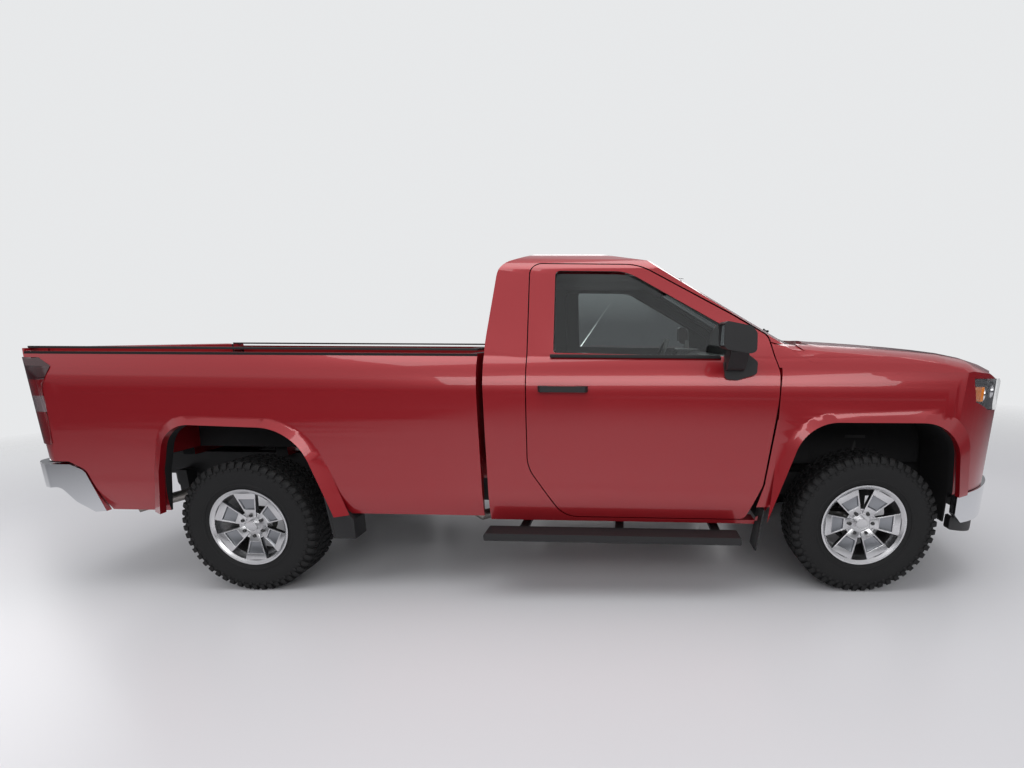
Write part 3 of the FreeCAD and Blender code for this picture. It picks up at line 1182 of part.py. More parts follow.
def build_tyre():
    """Carcass with a block of tread on every second side of each shoulder, staggered left to right."""
    bead = RIM_R + SEAT_FIT
    carcass = facet_ring(even_section([(bead, TYRE_BEAD_HALF), (305, TYRE_HALF), (TYRE_R - 22,
                                                                                  TREAD_HALF + 24),
                                       (TYRE_R, TREAD_HALF)]), WHEEL_SIDES)
    top = TYRE_R - LUG_DROP
    section = [(TYRE_R - LUG_DEPTH + 8, TREAD_HALF - 6), (top, TREAD_HALF - 3), (top,
                                                                                 TREAD_HALF + LUG_FOOT + 6),
               (top - 13, TREAD_HALF + LUG_FOOT + 22), (TYRE_R - 2 * LUG_DEPTH, TREAD_HALF + LUG_FOOT + 26),
               (TYRE_R - 2 * LUG_DEPTH, TREAD_HALF + LUG_FOOT + 14)]
    lugs = []
    for k in range(0, WHEEL_SIDES, LUG_SIDE_STEP):
        lugs.append(facet_block(section, k, WHEEL_SIDES))
        lugs.append(facet_block([(r, -across) for r, across in section], k + 1, WHEEL_SIDES))
    return fuse([carcass] + lugs)


def build_rim():
    """Rim barrel, spoked disc with windows and pockets, hub, nuts, cap and brake disc in one turning piece."""
    sides = WHEEL_SIDES // 2
    section = [(RIM_LIP_R, RIM_HALF), (RIM_R, 100), (RIM_R, -100), (RIM_LIP_R, -RIM_HALF),
               (RIM_R - RIM_WALL - 6, -104), (RIM_R - RIM_WALL, 106)]
    snug = math.cos(math.pi / sides)
    barrel = facet_ring([(radius * snug, across) for radius, across in section], sides)
    disc = facet_disc(RIM_R - 5, SPOKE_FACE_Y - SPOKE_T, SPOKE_FACE_Y, sides)
    window = side_prism([(-WINDOW_IN_HALF, WINDOW_IN_R), (-WINDOW_OUT_HALF, WINDOW_OUT_R),
                         (WINDOW_OUT_HALF, WINDOW_OUT_R), (WINDOW_IN_HALF, WINDOW_IN_R)], 0, 200)
    pocket = side_prism([(-13, 116), (-34, 190), (34, 190), (13, 116)], SPOKE_FACE_Y - SPOKE_POCKET, 200)
    pitch = 360.0 / SPOKES
    nuts = []
    for i in range(SPOKES):
        disc = disc.cut(turned_about_y(window, pitch * (i + 0.5))).cut(turned_about_y(pocket, pitch * i))
        nut = facet_disc(LUG_NUT_R, SPOKE_FACE_Y - 2, SPOKE_FACE_Y + 22, 6)
        nut.translate(V(0, 0, LUG_NUT_CIRCLE_R))
        nuts.append(turned_about_y(nut, pitch * i))
    hub = facet_disc(HUB_FACE_R, 5, SPOKE_FACE_Y + 4, 18)
    cap = facet_disc(HUB_CAP_R, SPOKE_FACE_Y, SPOKE_FACE_Y + 14, 12)
    brake = facet_disc(DISC_R, 5, 5 + DISC_T, 18)
    rim = fuse([barrel, disc, hub, cap, brake] + nuts)
    return rim.cut(rod((0, 0, 0), (0, SPINDLE_END + SEAT_FIT, 0), SPINDLE_R + RUN_FIT))


def build_spare():
    """Spare wheel under the bed: tyre on a plain pressed rim, lying flat."""
    sides = WHEEL_SIDES // 2
    tyre = facet_ring(even_section([(RIM_R, TREAD_HALF), (TYRE_R - 90, SPARE_HALF), (TYRE_R - 12,
                                                                                     TREAD_HALF)]), sides)
    rim = facet_disc(RIM_R + 4, 0, SPARE_RIM_T, sides)
    spare = fuse([tyre, rim])
    spare.rotate(V(0, 0, 0), V(1, 0, 0), 90)
    spare.translate(V(SPARE_X, 0, SPARE_Z))
    return spare


def build_exhaust():
    """Pipe from the engine back under the frame to a muffler, over the axle and out behind the right wheel."""
    y = -645.0
    inner = -270.0
    front = pipe([(ENGINE_X + 60, inner, ENGINE_Z - SEAT_FIT), (ENGINE_X + 60, inner, 470), (CASE_X - 20,
                                                                                             inner, 425),
                  (CASE_X - 520, inner, 350), (-250, y, 350), (-400, y, 440)], 32)
    muffler = side_prism([(-960, 385, 25), (-960, 505, 25), (-350, 505, 25), (-350, 385, 25)], y - 90, y + 90)
    tail = pipe([(-920, y, 445), (-1220, y, 545), (-1900, y, 545), (-2150, -700, 470), (-2330, -860, 430)],
                32)
    hanger = box(-670, -640, y + 60, -RAIL_OUT_Y - SEAT_FIT, 455, 490)
    return fuse([front, muffler, tail, hanger])


def build_boards():
    """Step board under each door on three arms from the frame rail."""
    boards = []
    for side in (1, -1):
        y0, y1 = sorted((side * 955, side * 1090))
        board = side_prism([(CAB_REAR_X - 13, 345, 8), (CAB_REAR_X - 13, 388, 16), (DOOR_FRONT_X - 161, 388,
                                                                                    16),
                            (DOOR_FRONT_X - 161, 345, 8)], y0, y1)
        arms = []
        root = RAIL_OUT_Y + SEAT_FIT
        for x in (CAB_REAR_X + 187, CAB_REAR_X + 747, CAB_REAR_X + 1307):
            a0, a1 = sorted((side * root, side * 960))
            arms.append(box(x - 25, x + 25, a0, a1, 352, 372))
            b0, b1 = sorted((side * root, side * (root + 12)))
            arms.append(box(x - 35, x + 35, b0, b1, 352, 480))
        boards.append(fuse([board] + arms))
    return boards


def build_liner():
    """Left front wheel liner: arched shell inboard of the fender."""
    shell = side_prism(front_arch(20), 590, BODY_HALF - 30).cut(side_prism(front_arch(9), 570, BODY_HALF))
    shell = shell.common(box(FIREWALL_X + FIREWALL_T + 15, FRONT_AXLE_X + 520, 590, WIDE, 440, 1100))
    shell = shell.common(fender_core(SEAT_FIT))
    return shell


def build_core_support():
    """Panel behind the grille with the radiator, on the frame, with posts that reach the grille and the lamps."""
    x0 = NOSE_X - 330
    foot = RAIL_FRONT_Z + RAIL_H + SEAT_FIT
    panel = cross_prism(even([(560, 1180), (560, 1040), (900, 1000), (900, 660), (690, foot)]), x0, x0 + 40)
    panel = panel.common(fender_core(SEAT_FIT))
    panel = panel.cut(box(x0 - 10, x0 + 60, -370, 370, foot + 50, 1120))
    radiator = box(x0 - 50, x0 + 10, -380, 380, foot + 40, 1130)
    posts = []
    for y in (-470, 470):
        for z in (740, 1090):
            post = box(x0 + 39, NOSE_X, y - 20, y + 20, z - 20, z + 20)
            posts.append(post.common(nose_core(GRILLE_DEPTH + SEAT_FIT, x0, 300, 1400)))
    return fuse([panel, radiator] + posts)


# Inside


def build_dashboard():
    x = FIREWALL_X
    outline = [(x - 360, 1120, 40), (x - 340, 1290, 60), (x - 210, 1345, 40), (x - SEAT_FIT, 1330),
               (x - SEAT_FIT, 1000), (x - 190, 960, 60)]
    dash = side_prism(outline, 12 - CAB_INNER_HALF, CAB_INNER_HALF - 12)
    tilt = math.radians(WHEEL_TILT)
    end = (WHEEL_X + 17.3 * math.cos(tilt), 400, WHEEL_Z - 17.3 * math.sin(tilt))
    start = (WHEEL_X + 200 * math.cos(tilt), 400, WHEEL_Z - 200 * math.sin(tilt))
    return fuse([dash, rod(start, end, 34)])


def build_steering_wheel():
    """Ring, hub and three spokes, tilted about the column."""
    ring = facet_disc(200, -14, 14, 32).cut(facet_disc(172, -20, 20, 32))
    hub = facet_disc(62, -17, 17, 12)
    spokes = [box(-180, 180, -9, 9, -18, 18), box(-18, 18, -9, 9, -180, 0)]
    wheel = fuse([ring, hub] + spokes)
    wheel.rotate(V(0, 0, 0), V(0, 0, 1), 90)
    wheel.rotate(V(0, 0, 0), V(0, 1, 0), WHEEL_TILT)
    wheel.translate(V(WHEEL_X, 400, WHEEL_Z))
    return wheel


def build_seat():
    """Bench: box base, padded cushion, padded back with two head restraints on posts."""
    r = DOOR_REAR_X
    base = box(r - 25, r + 435, 60 - SEAT_HALF, SEAT_HALF - 60, FLOOR_Z + SEAT_FIT, 740)
    cushion = side_prism([(r - 65, 740.3, 30), (r - 60, 905, 20), (r + 455, 950, 60), (r + 485, 800, 60),
                          (r + 455, 740.3, 30)], -SEAT_HALF, SEAT_HALF)
    back = side_prism([(r - 50, 906.3, 8), (r - 140, 1420, 40), (r - 45, 1425, 40), (r + 62, 916.1, 30)],
                      -SEAT_HALF, SEAT_HALF)
    heads = []
    for y in (-430, 430):
        heads.append(cross_prism([(y - 120, 1445, 30), (y - 120, 1600, 50), (y + 120, 1600, 50),
                                  (y + 120, 1445, 30)], r - 130, r - 40))
        for post_y in (y - 50, y + 50):
            heads.append(rod((r - 88, post_y, 1410), (r - 88, post_y, 1460), 7))
    return base, cushion, fuse([back] + heads)


# Assembly of nodes

keep("cab_shell", build_cab())
keep("windshield", screen_region(SCREEN_SET, SCREEN_T, SEAT_FIT))
keep("rear_window", build_rear_window())
door_left = build_door()
keep("door_left", door_left)
keep("door_right", mirrored(door_left))
pane_left = build_door_glass()
keep("door_glass_left", pane_left)
keep("door_glass_right", mirrored(pane_left))
trim_left = build_door_trim()
keep("door_trim_left", trim_left)
keep("door_trim_right", [mirrored(piece) for piece in trim_left])
keep("hood", build_hood())
keep("fenders", both_sides(build_fender()))
keep("headlamps", both_sides(build_headlamp()))
keep("grille", build_grille())
keep("front_bumper", build_front_bumper())
keep("front_valance", build_front_valance())
keep("core_support", build_core_support())
keep("wheel_liners", both_sides(build_liner()))
keep("bedsides", both_sides(build_bedside()))
keep("tail_lamps", both_sides(build_tail_lamp()))
keep("bed_box", build_bed_box())
keep("bed_rail_caps", build_rail_caps())
keep("tailgate", build_tailgate())
keep("tailgate_handle", build_tailgate_handle())
keep("rear_bumper", build_rear_bumper())
keep("bumper_step_pads", build_step_pads())
keep("frame_rails", build_frame())
keep("engine_block", build_engine())
keep("dashboard", build_dashboard())
keep("steering_wheel", build_steering_wheel())
seat_base, seat_cushion, seat_back = build_seat()
keep("seat_base", seat_base)
keep("seat_cushion", seat_cushion)
keep("seat_back", seat_back)
keep("running_boards", build_boards())
keep("exhaust", build_exhaust())
keep("driveline", build_driveline(), level=True)
keep("spare_wheel", build_spare())
keep("rear_axle", build_rear_axle(), level=True)
keep("front_suspension", build_front_suspension(), level=True)
knuckle = build_knuckle()
keep("knuckle_left", knuckle, level=True)
keep("knuckle_right", mirrored(knuckle), level=True)
tyre = build_tyre()
rim = build_rim()
for name, side, x in (("front_left", 1, FRONT_AXLE_X), ("front_right", -1, FRONT_AXLE_X),
                      ("rear_left", 1, REAR_AXLE_X), ("rear_right", -1, REAR_AXLE_X)):
    keep("tyre_" + name, place_wheel(tyre, side, x), level=True)
    keep("rim_" + name, place_wheel(rim, side, x), level=True)

for name, shape in NODES.items():
    shape.exportStep("parts/" + name + ".step")
    lengths = shape.BoundBox
    print(name, "solids", len(shape.Solids), "valid", shape.isValid(), "litres", round(shape.Volume / 1e6, 2),
          "x %.0f..%.0f y %.0f..%.0f z %.0f..%.0f" % (lengths.XMin, lengths.XMax, lengths.YMin, lengths.YMax,
                                                      lengths.ZMin, lengths.ZMax))
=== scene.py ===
"""Finished looks of a single-cab pickup truck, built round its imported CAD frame."""
import json
import logging
import math
from collections.abc import Callable, Iterator
from contextlib import contextmanager
from dataclasses import dataclass
from enum import Enum

import bpy
from mathutils import Matrix, Vector

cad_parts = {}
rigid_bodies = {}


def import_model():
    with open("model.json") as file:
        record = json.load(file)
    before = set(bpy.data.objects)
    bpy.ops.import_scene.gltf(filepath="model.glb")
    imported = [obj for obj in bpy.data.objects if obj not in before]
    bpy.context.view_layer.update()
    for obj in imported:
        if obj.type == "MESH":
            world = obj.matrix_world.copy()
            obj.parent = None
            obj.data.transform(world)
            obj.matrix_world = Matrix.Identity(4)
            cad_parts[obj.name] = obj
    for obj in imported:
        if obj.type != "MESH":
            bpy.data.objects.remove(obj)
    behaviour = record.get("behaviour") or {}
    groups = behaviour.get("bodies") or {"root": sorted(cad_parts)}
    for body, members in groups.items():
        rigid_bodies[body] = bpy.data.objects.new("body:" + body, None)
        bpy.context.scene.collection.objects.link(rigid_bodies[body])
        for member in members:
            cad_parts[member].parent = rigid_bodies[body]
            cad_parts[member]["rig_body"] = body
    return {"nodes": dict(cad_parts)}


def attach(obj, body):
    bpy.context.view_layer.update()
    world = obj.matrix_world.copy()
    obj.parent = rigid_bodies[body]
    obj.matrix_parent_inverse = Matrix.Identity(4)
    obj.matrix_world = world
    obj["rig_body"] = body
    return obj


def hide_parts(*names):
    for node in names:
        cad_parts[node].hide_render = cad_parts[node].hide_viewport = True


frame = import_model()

LOG = logging.getLogger("pickup")
LOG.setLevel(logging.INFO)
logging.basicConfig(format="%(name)s: %(message)s")

Point = tuple[float, float, float]
Piece = bpy.types.Object

# Blender's start-up objects go.
for thing in list(bpy.data.objects):
    if thing.type in {"CAMERA", "LIGHT"} or thing.name == "Cube":
        bpy.data.objects.remove(thing, do_unlink=True)
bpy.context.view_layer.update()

# The body leans nose-down about this point; what rides with the body is drawn level and then raked.
RAKE = math.radians(1.3)
RAKE_CENTRE = Vector((0.2025, 0.0, 0.9))
FRONT_AXLE_X = 1.9755
REAR_AXLE_X = -1.5705
AXLE_Z = 0.398
WHEEL_Y = 0.8715
SPOKES = 6

# Corners of a CAD mesh closer than this are one, and faces flatter than this many degrees are joined.
MERGE = 2e-5
FLAT = 0.02

# The wall of a pressed face leans in by this share of its depth.
PRESS_LEAN = 0.3


class Side(Enum):
    """The truck's left, on +Y, and its right."""

    LEFT = 1
    RIGHT = -1

    @property
    def word(self) -> str:
        """Returns the side's name as the CAD nodes spell it."""
        return self.name.lower()


class Axis(Enum):
    """Turning axis of a round piece."""

    X = Vector((1.0, 0.0, 0.0))
    Y = Vector((0.0, 1.0, 0.0))
    Z = Vector((0.0, 0.0, 1.0))


@dataclass(frozen=True)
class Box:
    """A box between two corners. Those of paired fittings are given for the truck's left side."""

    low: Point
    high: Point

    def on(self, side: Side) -> tuple[Point, Point]:
        """Finds the box's corners on one side of the truck.

        Args:
            side: the side it goes on.

        Returns:
            Its lowest and highest corners there.
        """
        near, far = sorted((side.value * self.low[1], side.value * self.high[1]))
        return (self.low[0], near, self.low[2]), (self.high[0], far, self.high[2])

    def moved(self, y: float) -> tuple[Point, Point]:
        """Finds the box's corners once it is moved across the truck.

        Args:
            y: how far it is moved.

        Returns:
            Its lowest and highest corners there.
        """
        return (self.low[0], self.low[1] + y, self.low[2]), (self.high[0], self.high[1] + y, self.high[2])

    def holds(self, point: Vector) -> bool:
        """Tells whether a point lies in the box.

        Args:
            point: the point to test.

        Returns:
            True if it does.
        """
        return all(a < c < b for a, c, b in zip(self.low, point, self.high))


@dataclass(frozen=True)
class Finish:
    """One surface finish, made as a procedural material on Object coordinates.

    A broad mottle varies its gloss, and a finish with a grain also has a fine bump.
    """

    name: str
    colour: Point
    roughness: float
    metallic: float = 0.0
    coat: float = 0.0
    specular: float = 0.5
    transmission: float = 0.0
    grain: float = 0.0
    grain_scale: float = 300.0
    mottle: float = 0.03
    sheen: float = 0.0
    alpha: float = 1.0
    coat_roughness: float = 0.03
    mottle_scale: float = 3.0
    grain_depth: float = 0.0006

    def material(self) -> bpy.types.Material:
        """Builds the material once and finds it again after that.

        Returns:
            The Blender material of this finish.
        """
        label = f"{self.name}_finish"
        found = bpy.data.materials.get(label)
        if found:
            return found
        made = bpy.data.materials.new(label)
        made.use_nodes = True
        made.diffuse_color = (*self.colour, 1.0)
        nodes, links = made.node_tree.nodes, made.node_tree.links
        shader = nodes["Principled BSDF"]
        shader.inputs["Base Color"].default_value = (*self.colour, 1.0)
        shader.inputs["Metallic"].default_value = self.metallic
        shader.inputs["Coat Weight"].default_value = self.coat
        shader.inputs["Coat Roughness"].default_value = self.coat_roughness
        shader.inputs["Specular IOR Level"].default_value = self.specular
        shader.inputs["Transmission Weight"].default_value = self.transmission
        shader.inputs["Sheen Weight"].default_value = self.sheen
        shader.inputs["Alpha"].default_value = self.alpha
        place = nodes.new("ShaderNodeTexCoord")
        broad = nodes.new("ShaderNodeTexNoise")
        broad.inputs["Scale"].default_value = self.mottle_scale
        broad.inputs["Detail"].default_value = 2.0
        span = nodes.new("ShaderNodeMapRange")
        span.inputs["To Min"].default_value = max(0.0, self.roughness - self.mottle)
        span.inputs["To Max"].default_value = min(1.0, self.roughness + self.mottle)
        links.new(place.outputs["Object"], broad.inputs["Vector"])
        links.new(broad.outputs["Fac"], span.inputs["Value"])
        links.new(span.outputs["Result"], shader.inputs["Roughness"])
        if self.grain:
            fine = nodes.new("ShaderNodeTexNoise")
            fine.inputs["Scale"].default_value = self.grain_scale
            bump = nodes.new("ShaderNodeBump")
            bump.inputs["Strength"].default_value = self.grain
            bump.inputs["Distance"].default_value = self.grain_depth
            links.new(place.outputs["Object"], fine.inputs["Vector"])
            links.new(fine.outputs["Fac"], bump.inputs["Height"])
            links.new(bump.outputs["Normal"], shader.inputs["Normal"])
        return made


RED_PAINT = Finish("red_paint", (0.33, 0.006, 0.012), 0.32, metallic=0.30, coat=1.0, grain=0.02,
                   grain_scale=1800.0, mottle=0.02)
BLACK_PLASTIC = Finish("black_plastic", (0.012, 0.012, 0.013), 0.55, grain=0.35, grain_scale=700.0)
GLOSS_BLACK = Finish("gloss_black", (0.006, 0.006, 0.007), 0.12, coat=0.6)
LINER = Finish("liner_plastic", (0.008, 0.008, 0.009), 0.85, grain=0.5, grain_scale=120.0)
SEAL = Finish("seal_rubber", (0.010, 0.010, 0.011), 0.65)
CHROME = Finish("chrome", (0.74, 0.75, 0.77), 0.06, metallic=1.0, mottle=0.02)
ALLOY = Finish("bright_alloy", (0.66, 0.66, 0.67), 0.27, metallic=1.0, mottle=0.05, grain=0.05,
               grain_scale=900.0)
ALLOY_POCKET = Finish("alloy_pocket", (0.30, 0.31, 0.33), 0.30, metallic=1.0)
RUBBER = Finish("tyre_rubber", (0.010, 0.010, 0.0105), 0.72, specular=0.35, grain=0.25, grain_scale=500.0,
                mottle=0.08)
BLACK_STEEL = Finish("black_steel", (0.014, 0.014, 0.015), 0.5, grain=0.3, grain_scale=150.0)
CAST_METAL = Finish("cast_metal", (0.16, 0.155, 0.15), 0.55, metallic=0.8, grain=0.6, grain_scale=260.0)
DISC_STEEL = Finish("disc_steel", (0.40, 0.39, 0.38), 0.32, metallic=1.0)
EXHAUST = Finish("exhaust_steel", (0.32, 0.30, 0.28), 0.42, metallic=0.9, grain=0.1)
CLEAR_GLASS = Finish("clear_glass", (0.82, 0.88, 0.86), 0.0, transmission=1.0, mottle=0.0)
LAMP_LENS = Finish("lamp_lens", (0.45, 0.46, 0.48), 0.03, coat=1.0, mottle=0.0, alpha=0.12)
TAIL_LENS = Finish("tail_lens", (0.16, 0.003, 0.006), 0.08, coat=1.0)
TAIL_DARK = Finish("tail_lens_dark", (0.035, 0.002, 0.004), 0.06, coat=1.0)
LAMP_BRIGHT = Finish("lamp_reflector", (0.82, 0.82, 0.84), 0.14, metallic=1.0)
LAMP_CLEAR = Finish("lamp_clear_band", (0.26, 0.19, 0.20), 0.20, metallic=0.3, coat=1.0)
AMBER = Finish("amber_reflector", (0.75, 0.22, 0.02), 0.2, coat=1.0)
CLOTH = Finish("seat_cloth", (0.035, 0.035, 0.038), 0.9, grain=0.9, grain_scale=900.0, sheen=0.3)
TRIM = Finish("grey_trim", (0.045, 0.045, 0.048), 0.6, grain=0.4, grain_scale=600.0)
SCREEN = Finish("screen_black", (0.004, 0.004, 0.006), 0.05, coat=0.5)
MIRROR_GLASS = Finish("mirror_glass", (0.86, 0.88, 0.9), 0.01, metallic=1.0, mottle=0.0)
STOP_RED = Finish("stop_lamp", (0.42, 0.01, 0.015), 0.12, coat=1.0)


class Bench:
    """Hand tools of the workshop: each adds or shapes a mesh with Blender's own operators."""

    @staticmethod
    def clear() -> None:
        """Leaves nothing selected and no mesh open."""
        if bpy.context.object and bpy.context.object.mode != "OBJECT":
            bpy.ops.object.mode_set(mode="OBJECT")
        bpy.ops.object.select_all(action="DESELECT")

    @staticmethod
    def take(*pieces: Piece) -> Piece:
        """Selects pieces, the first one as the active one.

        Args:
            pieces: the objects to select.

        Returns:
            The active object.
        """
        Bench.clear()
        for piece in pieces:
            piece.select_set(True)
        bpy.context.view_layer.objects.active = pieces[0]
        return pieces[0]

    @staticmethod
    @contextmanager
    def opened(piece: Piece) -> Iterator[None]:
        """Opens a piece in edit mode with all of it selected, and closes it after the work.

        Args:
            piece: the object to open.

        Yields:
            Nothing; the mesh is open meanwhile.
        """
        Bench.take(piece)
        bpy.ops.object.mode_set(mode="EDIT")
        bpy.ops.mesh.select_all(action="SELECT")
        yield
        bpy.ops.object.mode_set(mode="OBJECT")

    @staticmethod
    def settle(piece: Piece) -> Piece:
        """Puts an object's place, turn and size into its mesh.

        Args:
            piece: the object to settle.

        Returns:
            The same object, at the origin.
        """
        Bench.take(piece)
        bpy.ops.object.transform_apply(location=True, rotation=True, scale=True)
        return piece

    @staticmethod
    def block(name: str, low: Point, high: Point) -> Piece:
        """Adds a box between two corners.

        Args:
            name: the piece's name.
            low: its lowest corner.
            high: its highest corner.

        Returns:
            The box.
        """
        Bench.clear()
        middle = [(a + b) / 2 for a, b in zip(low, high)]
        bpy.ops.mesh.primitive_cube_add(size=1.0, location=middle, scale=[b - a for a, b in zip(low, high)])
        piece = bpy.context.object
        piece.name = name
        return Bench.settle(piece)

    @staticmethod
    def rod(name: str, start: Point, end: Point, radius: float, sides: int = 24) -> Piece:
        """Adds a round bar between two points.

        Args:
            name: the piece's name.
            start: centre of one end.
            end: centre of the other end.
            radius: its radius.
            sides: how many flats go round it.

        Returns:
            The bar.
        """
        Bench.clear()
        a, b = Vector(start), Vector(end)
        turn = (b - a).to_track_quat("Z", "Y").to_euler()
        bpy.ops.mesh.primitive_cylinder_add(vertices=sides, radius=radius, depth=(b - a).length,
                                            location=(a + b) / 2, rotation=turn)
        piece = bpy.context.object
        piece.name = name
        return Bench.settle(piece)

    @staticmethod
    def turned(name: str, profile: list[tuple[float, float]], sides: int) -> Piece:
        """Turns a closed profile about the Y axis, ring by ring.

        Args:
            name: the piece's name.
            profile: (radius, place along the axis) of each ring, in order round the section.
            sides: how many flats go round it.

        Returns:
            The turned form, closed and facing outwards.
        """
        Bench.clear()
        radius, along = profile[0]
        bpy.ops.mesh.primitive_circle_add(vertices=sides, radius=radius, location=(0.0, along, 0.0),
                                          rotation=(math.pi / 2, 0.0, 0.0))
        piece = bpy.context.object
        piece.name = name
        Bench.settle(piece)
        with Bench.opened(piece):
            for following, place in profile[1:] + profile[:1]:
                bpy.ops.mesh.extrude_edges_move(TRANSFORM_OT_translate={"value": (0.0, place - along, 0.0)})
                ratio = following / radius
                bpy.ops.transform.resize(value=(ratio, 1.0, ratio), center_override=(0.0, place, 0.0))
                radius, along = following, place
            bpy.ops.mesh.select_all(action="SELECT")
            bpy.ops.mesh.remove_doubles(threshold=MERGE / 2)
            bpy.ops.mesh.normals_make_consistent(inside=False)
        return piece

    @staticmethod
    def slice(piece: Piece, point: Point, normal: Point, keep: bool = False) -> Piece:
        """Cuts a piece along a plane and caps it, or only scores it.

        Args:
            piece: the object to cut.
            point: a point on the plane.
            normal: the plane's direction; what lies that way is removed.
            keep: True to leave both halves on and only add the edge.

        Returns:
            The same object.
        """
        with Bench.opened(piece):
            bpy.ops.mesh.bisect(plane_co=point, plane_no=normal, use_fill=not keep, clear_outer=not keep)
        return piece

    @staticmethod
    def round_edges(piece: Piece, width: float, segments: int = 2, angle: float = 35.0) -> Piece:
        """Rounds the sharp edges with an applied Bevel modifier.

        Args:
            piece: the object to round.
            width: how far the rounding reaches from each edge.
            segments: how many strips make the rounding.
            angle: edges sharper than this many degrees are rounded.

        Returns:
            The same object.
        """
        Bench.take(piece)
        bevel = piece.modifiers.new("rounded", "BEVEL")
        bevel.width = width
        bevel.segments = segments
        bevel.limit_method = "ANGLE"
        bevel.angle_limit = math.radians(angle)
        bpy.ops.object.modifier_apply(modifier=bevel.name)
        return piece

    @staticmethod
    def carve(piece: Piece, tool: Piece, operation: str = "DIFFERENCE") -> Piece:
        """Cuts or trims a piece with another one, which is used up.

        Args:
            piece: the object to cut.
            tool: the cutting object.
            operation: the Boolean modifier's operation.

        Returns:
            The same object.
        """
        Bench.take(piece)
        cut = piece.modifiers.new("carved", "BOOLEAN")
        cut.operation = operation
        cut.solver = "EXACT"
        cut.object = tool
        bpy.ops.object.modifier_apply(modifier=cut.name)
        bpy.data.objects.remove(tool, do_unlink=True)
        return piece

    @staticmethod
    def join(name: str, pieces: list[Piece]) -> Piece:
        """Joins pieces to one object that keeps their materials.

        Args:
            name: the joined piece's name.
            pieces: the objects to join.

        Returns:
            The joined object.
        """
        joined = Bench.take(*pieces)
        if len(pieces) > 1:
            bpy.ops.object.join()
        joined.name = name
        joined.data.name = name
        return joined

    @staticmethod
    def copy(piece: Piece, name: str, move: Matrix = Matrix.Identity(4)) -> Piece:
        """Copies a piece with its own mesh and moves the copy's mesh.

        Args:
            piece: the object to copy.
            name: the copy's name.
            move: how the copy's mesh is moved.

        Returns:
            The copy.
        """
        hidden = piece.hide_viewport
        piece.hide_viewport = False
        Bench.take(piece)
        bpy.ops.object.duplicate(linked=False)
        piece.hide_viewport = hidden
        made = bpy.context.object
        made.hide_viewport = made.hide_render = False
        made.name = name
        made.parent = None
        made.matrix_world = move
        Bench.settle(made)
        return made

    @staticmethod
    def free(piece: Piece) -> Piece:
        """Takes the frame's marks off a copy, so that it can be fitted as a piece of its own.

        Args:
            piece: the copy.

        Returns:
            The same object.
        """
        for key in [key for key in piece.keys() if key.startswith("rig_")]:
            del piece[key]
        return piece

    @staticmethod
    def merge(piece: Piece) -> Piece:
        """Joins the doubled corners and the flat facets of a CAD mesh.

        Args:
            piece: the object to merge.

        Returns:
            The same object.
        """
        with Bench.opened(piece):
            bpy.ops.mesh.remove_doubles(threshold=MERGE)
            bpy.ops.mesh.dissolve_limited(angle_limit=math.radians(FLAT))
        return piece

    @staticmethod
    def spread(piece: Piece, count: int, axis: Axis = Axis.Y, start: float = 0.0) -> Piece:
        """Repeats a piece round an axis through the origin and joins the copies.

        Args:
            piece: the object to repeat; it becomes the first of the ring.
            count: how many there are in all.
            axis: the axis they go round.
            start: turn of the first one, in radians.

        Returns:
            All of them as one object.
        """
        name = piece.name
        copies = [piece]
        for i in range(1, count):
            turn = Matrix.Rotation(2 * math.pi * i / count, 4, axis.value)
            copies.append(Bench.copy(piece, f"{name}_{i}", turn))
        ring = Bench.join(name, copies)
        ring.matrix_world = Matrix.Rotation(start, 4, axis.value)
        return Bench.settle(ring)

    @staticmethod
    def rake(piece: Piece) -> Piece:
        """Leans a piece drawn level in the body's frame the way the body leans.

        Args:
            piece: the object to lean.

        Returns:
            The same object.
        """
        turn = Matrix.Rotation(RAKE, 4, Axis.Y.value)
        piece.matrix_world = Matrix.Translation(RAKE_CENTRE) @ turn @ Matrix.Translation(-RAKE_CENTRE)
        return Bench.settle(piece)

    @staticmethod
    def dress(piece: Piece, finish: Finish, smooth: float = 30.0) -> Piece:
        """Gives a piece one finish and smooths it up to an angle.

        Args:
            piece: the object to dress.
            finish: its finish.
            smooth: edges flatter than this many degrees shade smoothly.

        Returns:
            The same object.
        """
        piece.data.materials.clear()
        piece.data.materials.append(finish.material())
        Bench.take(piece)
        bpy.ops.object.shade_smooth_by_angle(angle=math.radians(smooth))
        return piece

    @staticmethod
    def skin(node: str, name: str, finish: Finish, bevel: float = 0.0) -> Piece:
        """Makes a finished copy of a CAD node: merged, smoothed and in place of the node.

        Args:
            node: the CAD node to copy.
            name: the copy's name.
            finish: its finish.
            bevel: rounding of its sharp edges, or 0 for none.

        Returns:
            The copy, which rides with the node's body and replaces the node.
        """
        piece = Bench.merge(Bench.free(Bench.copy(frame["nodes"][node], name)))
        if bevel:
            Bench.round_edges(piece, bevel)
        Bench.even(Bench.dress(piece, finish))
        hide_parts(node)
        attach(piece, frame["nodes"][node]["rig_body"])
        LOG.info("%s stands for %s", name, node)
        return piece

    @staticmethod
    def even(piece: Piece) -> Piece:
        """Lets the large faces lead the shading, with an applied Weighted Normal modifier.

        Args:
            piece: the object to shade.

        Returns:
            The same object.
        """
        Bench.take(piece)
        weight = piece.modifiers.new("even", "WEIGHTED_NORMAL")
        weight.keep_sharp = True
        bpy.ops.object.modifier_apply(modifier=weight.name)
        return piece

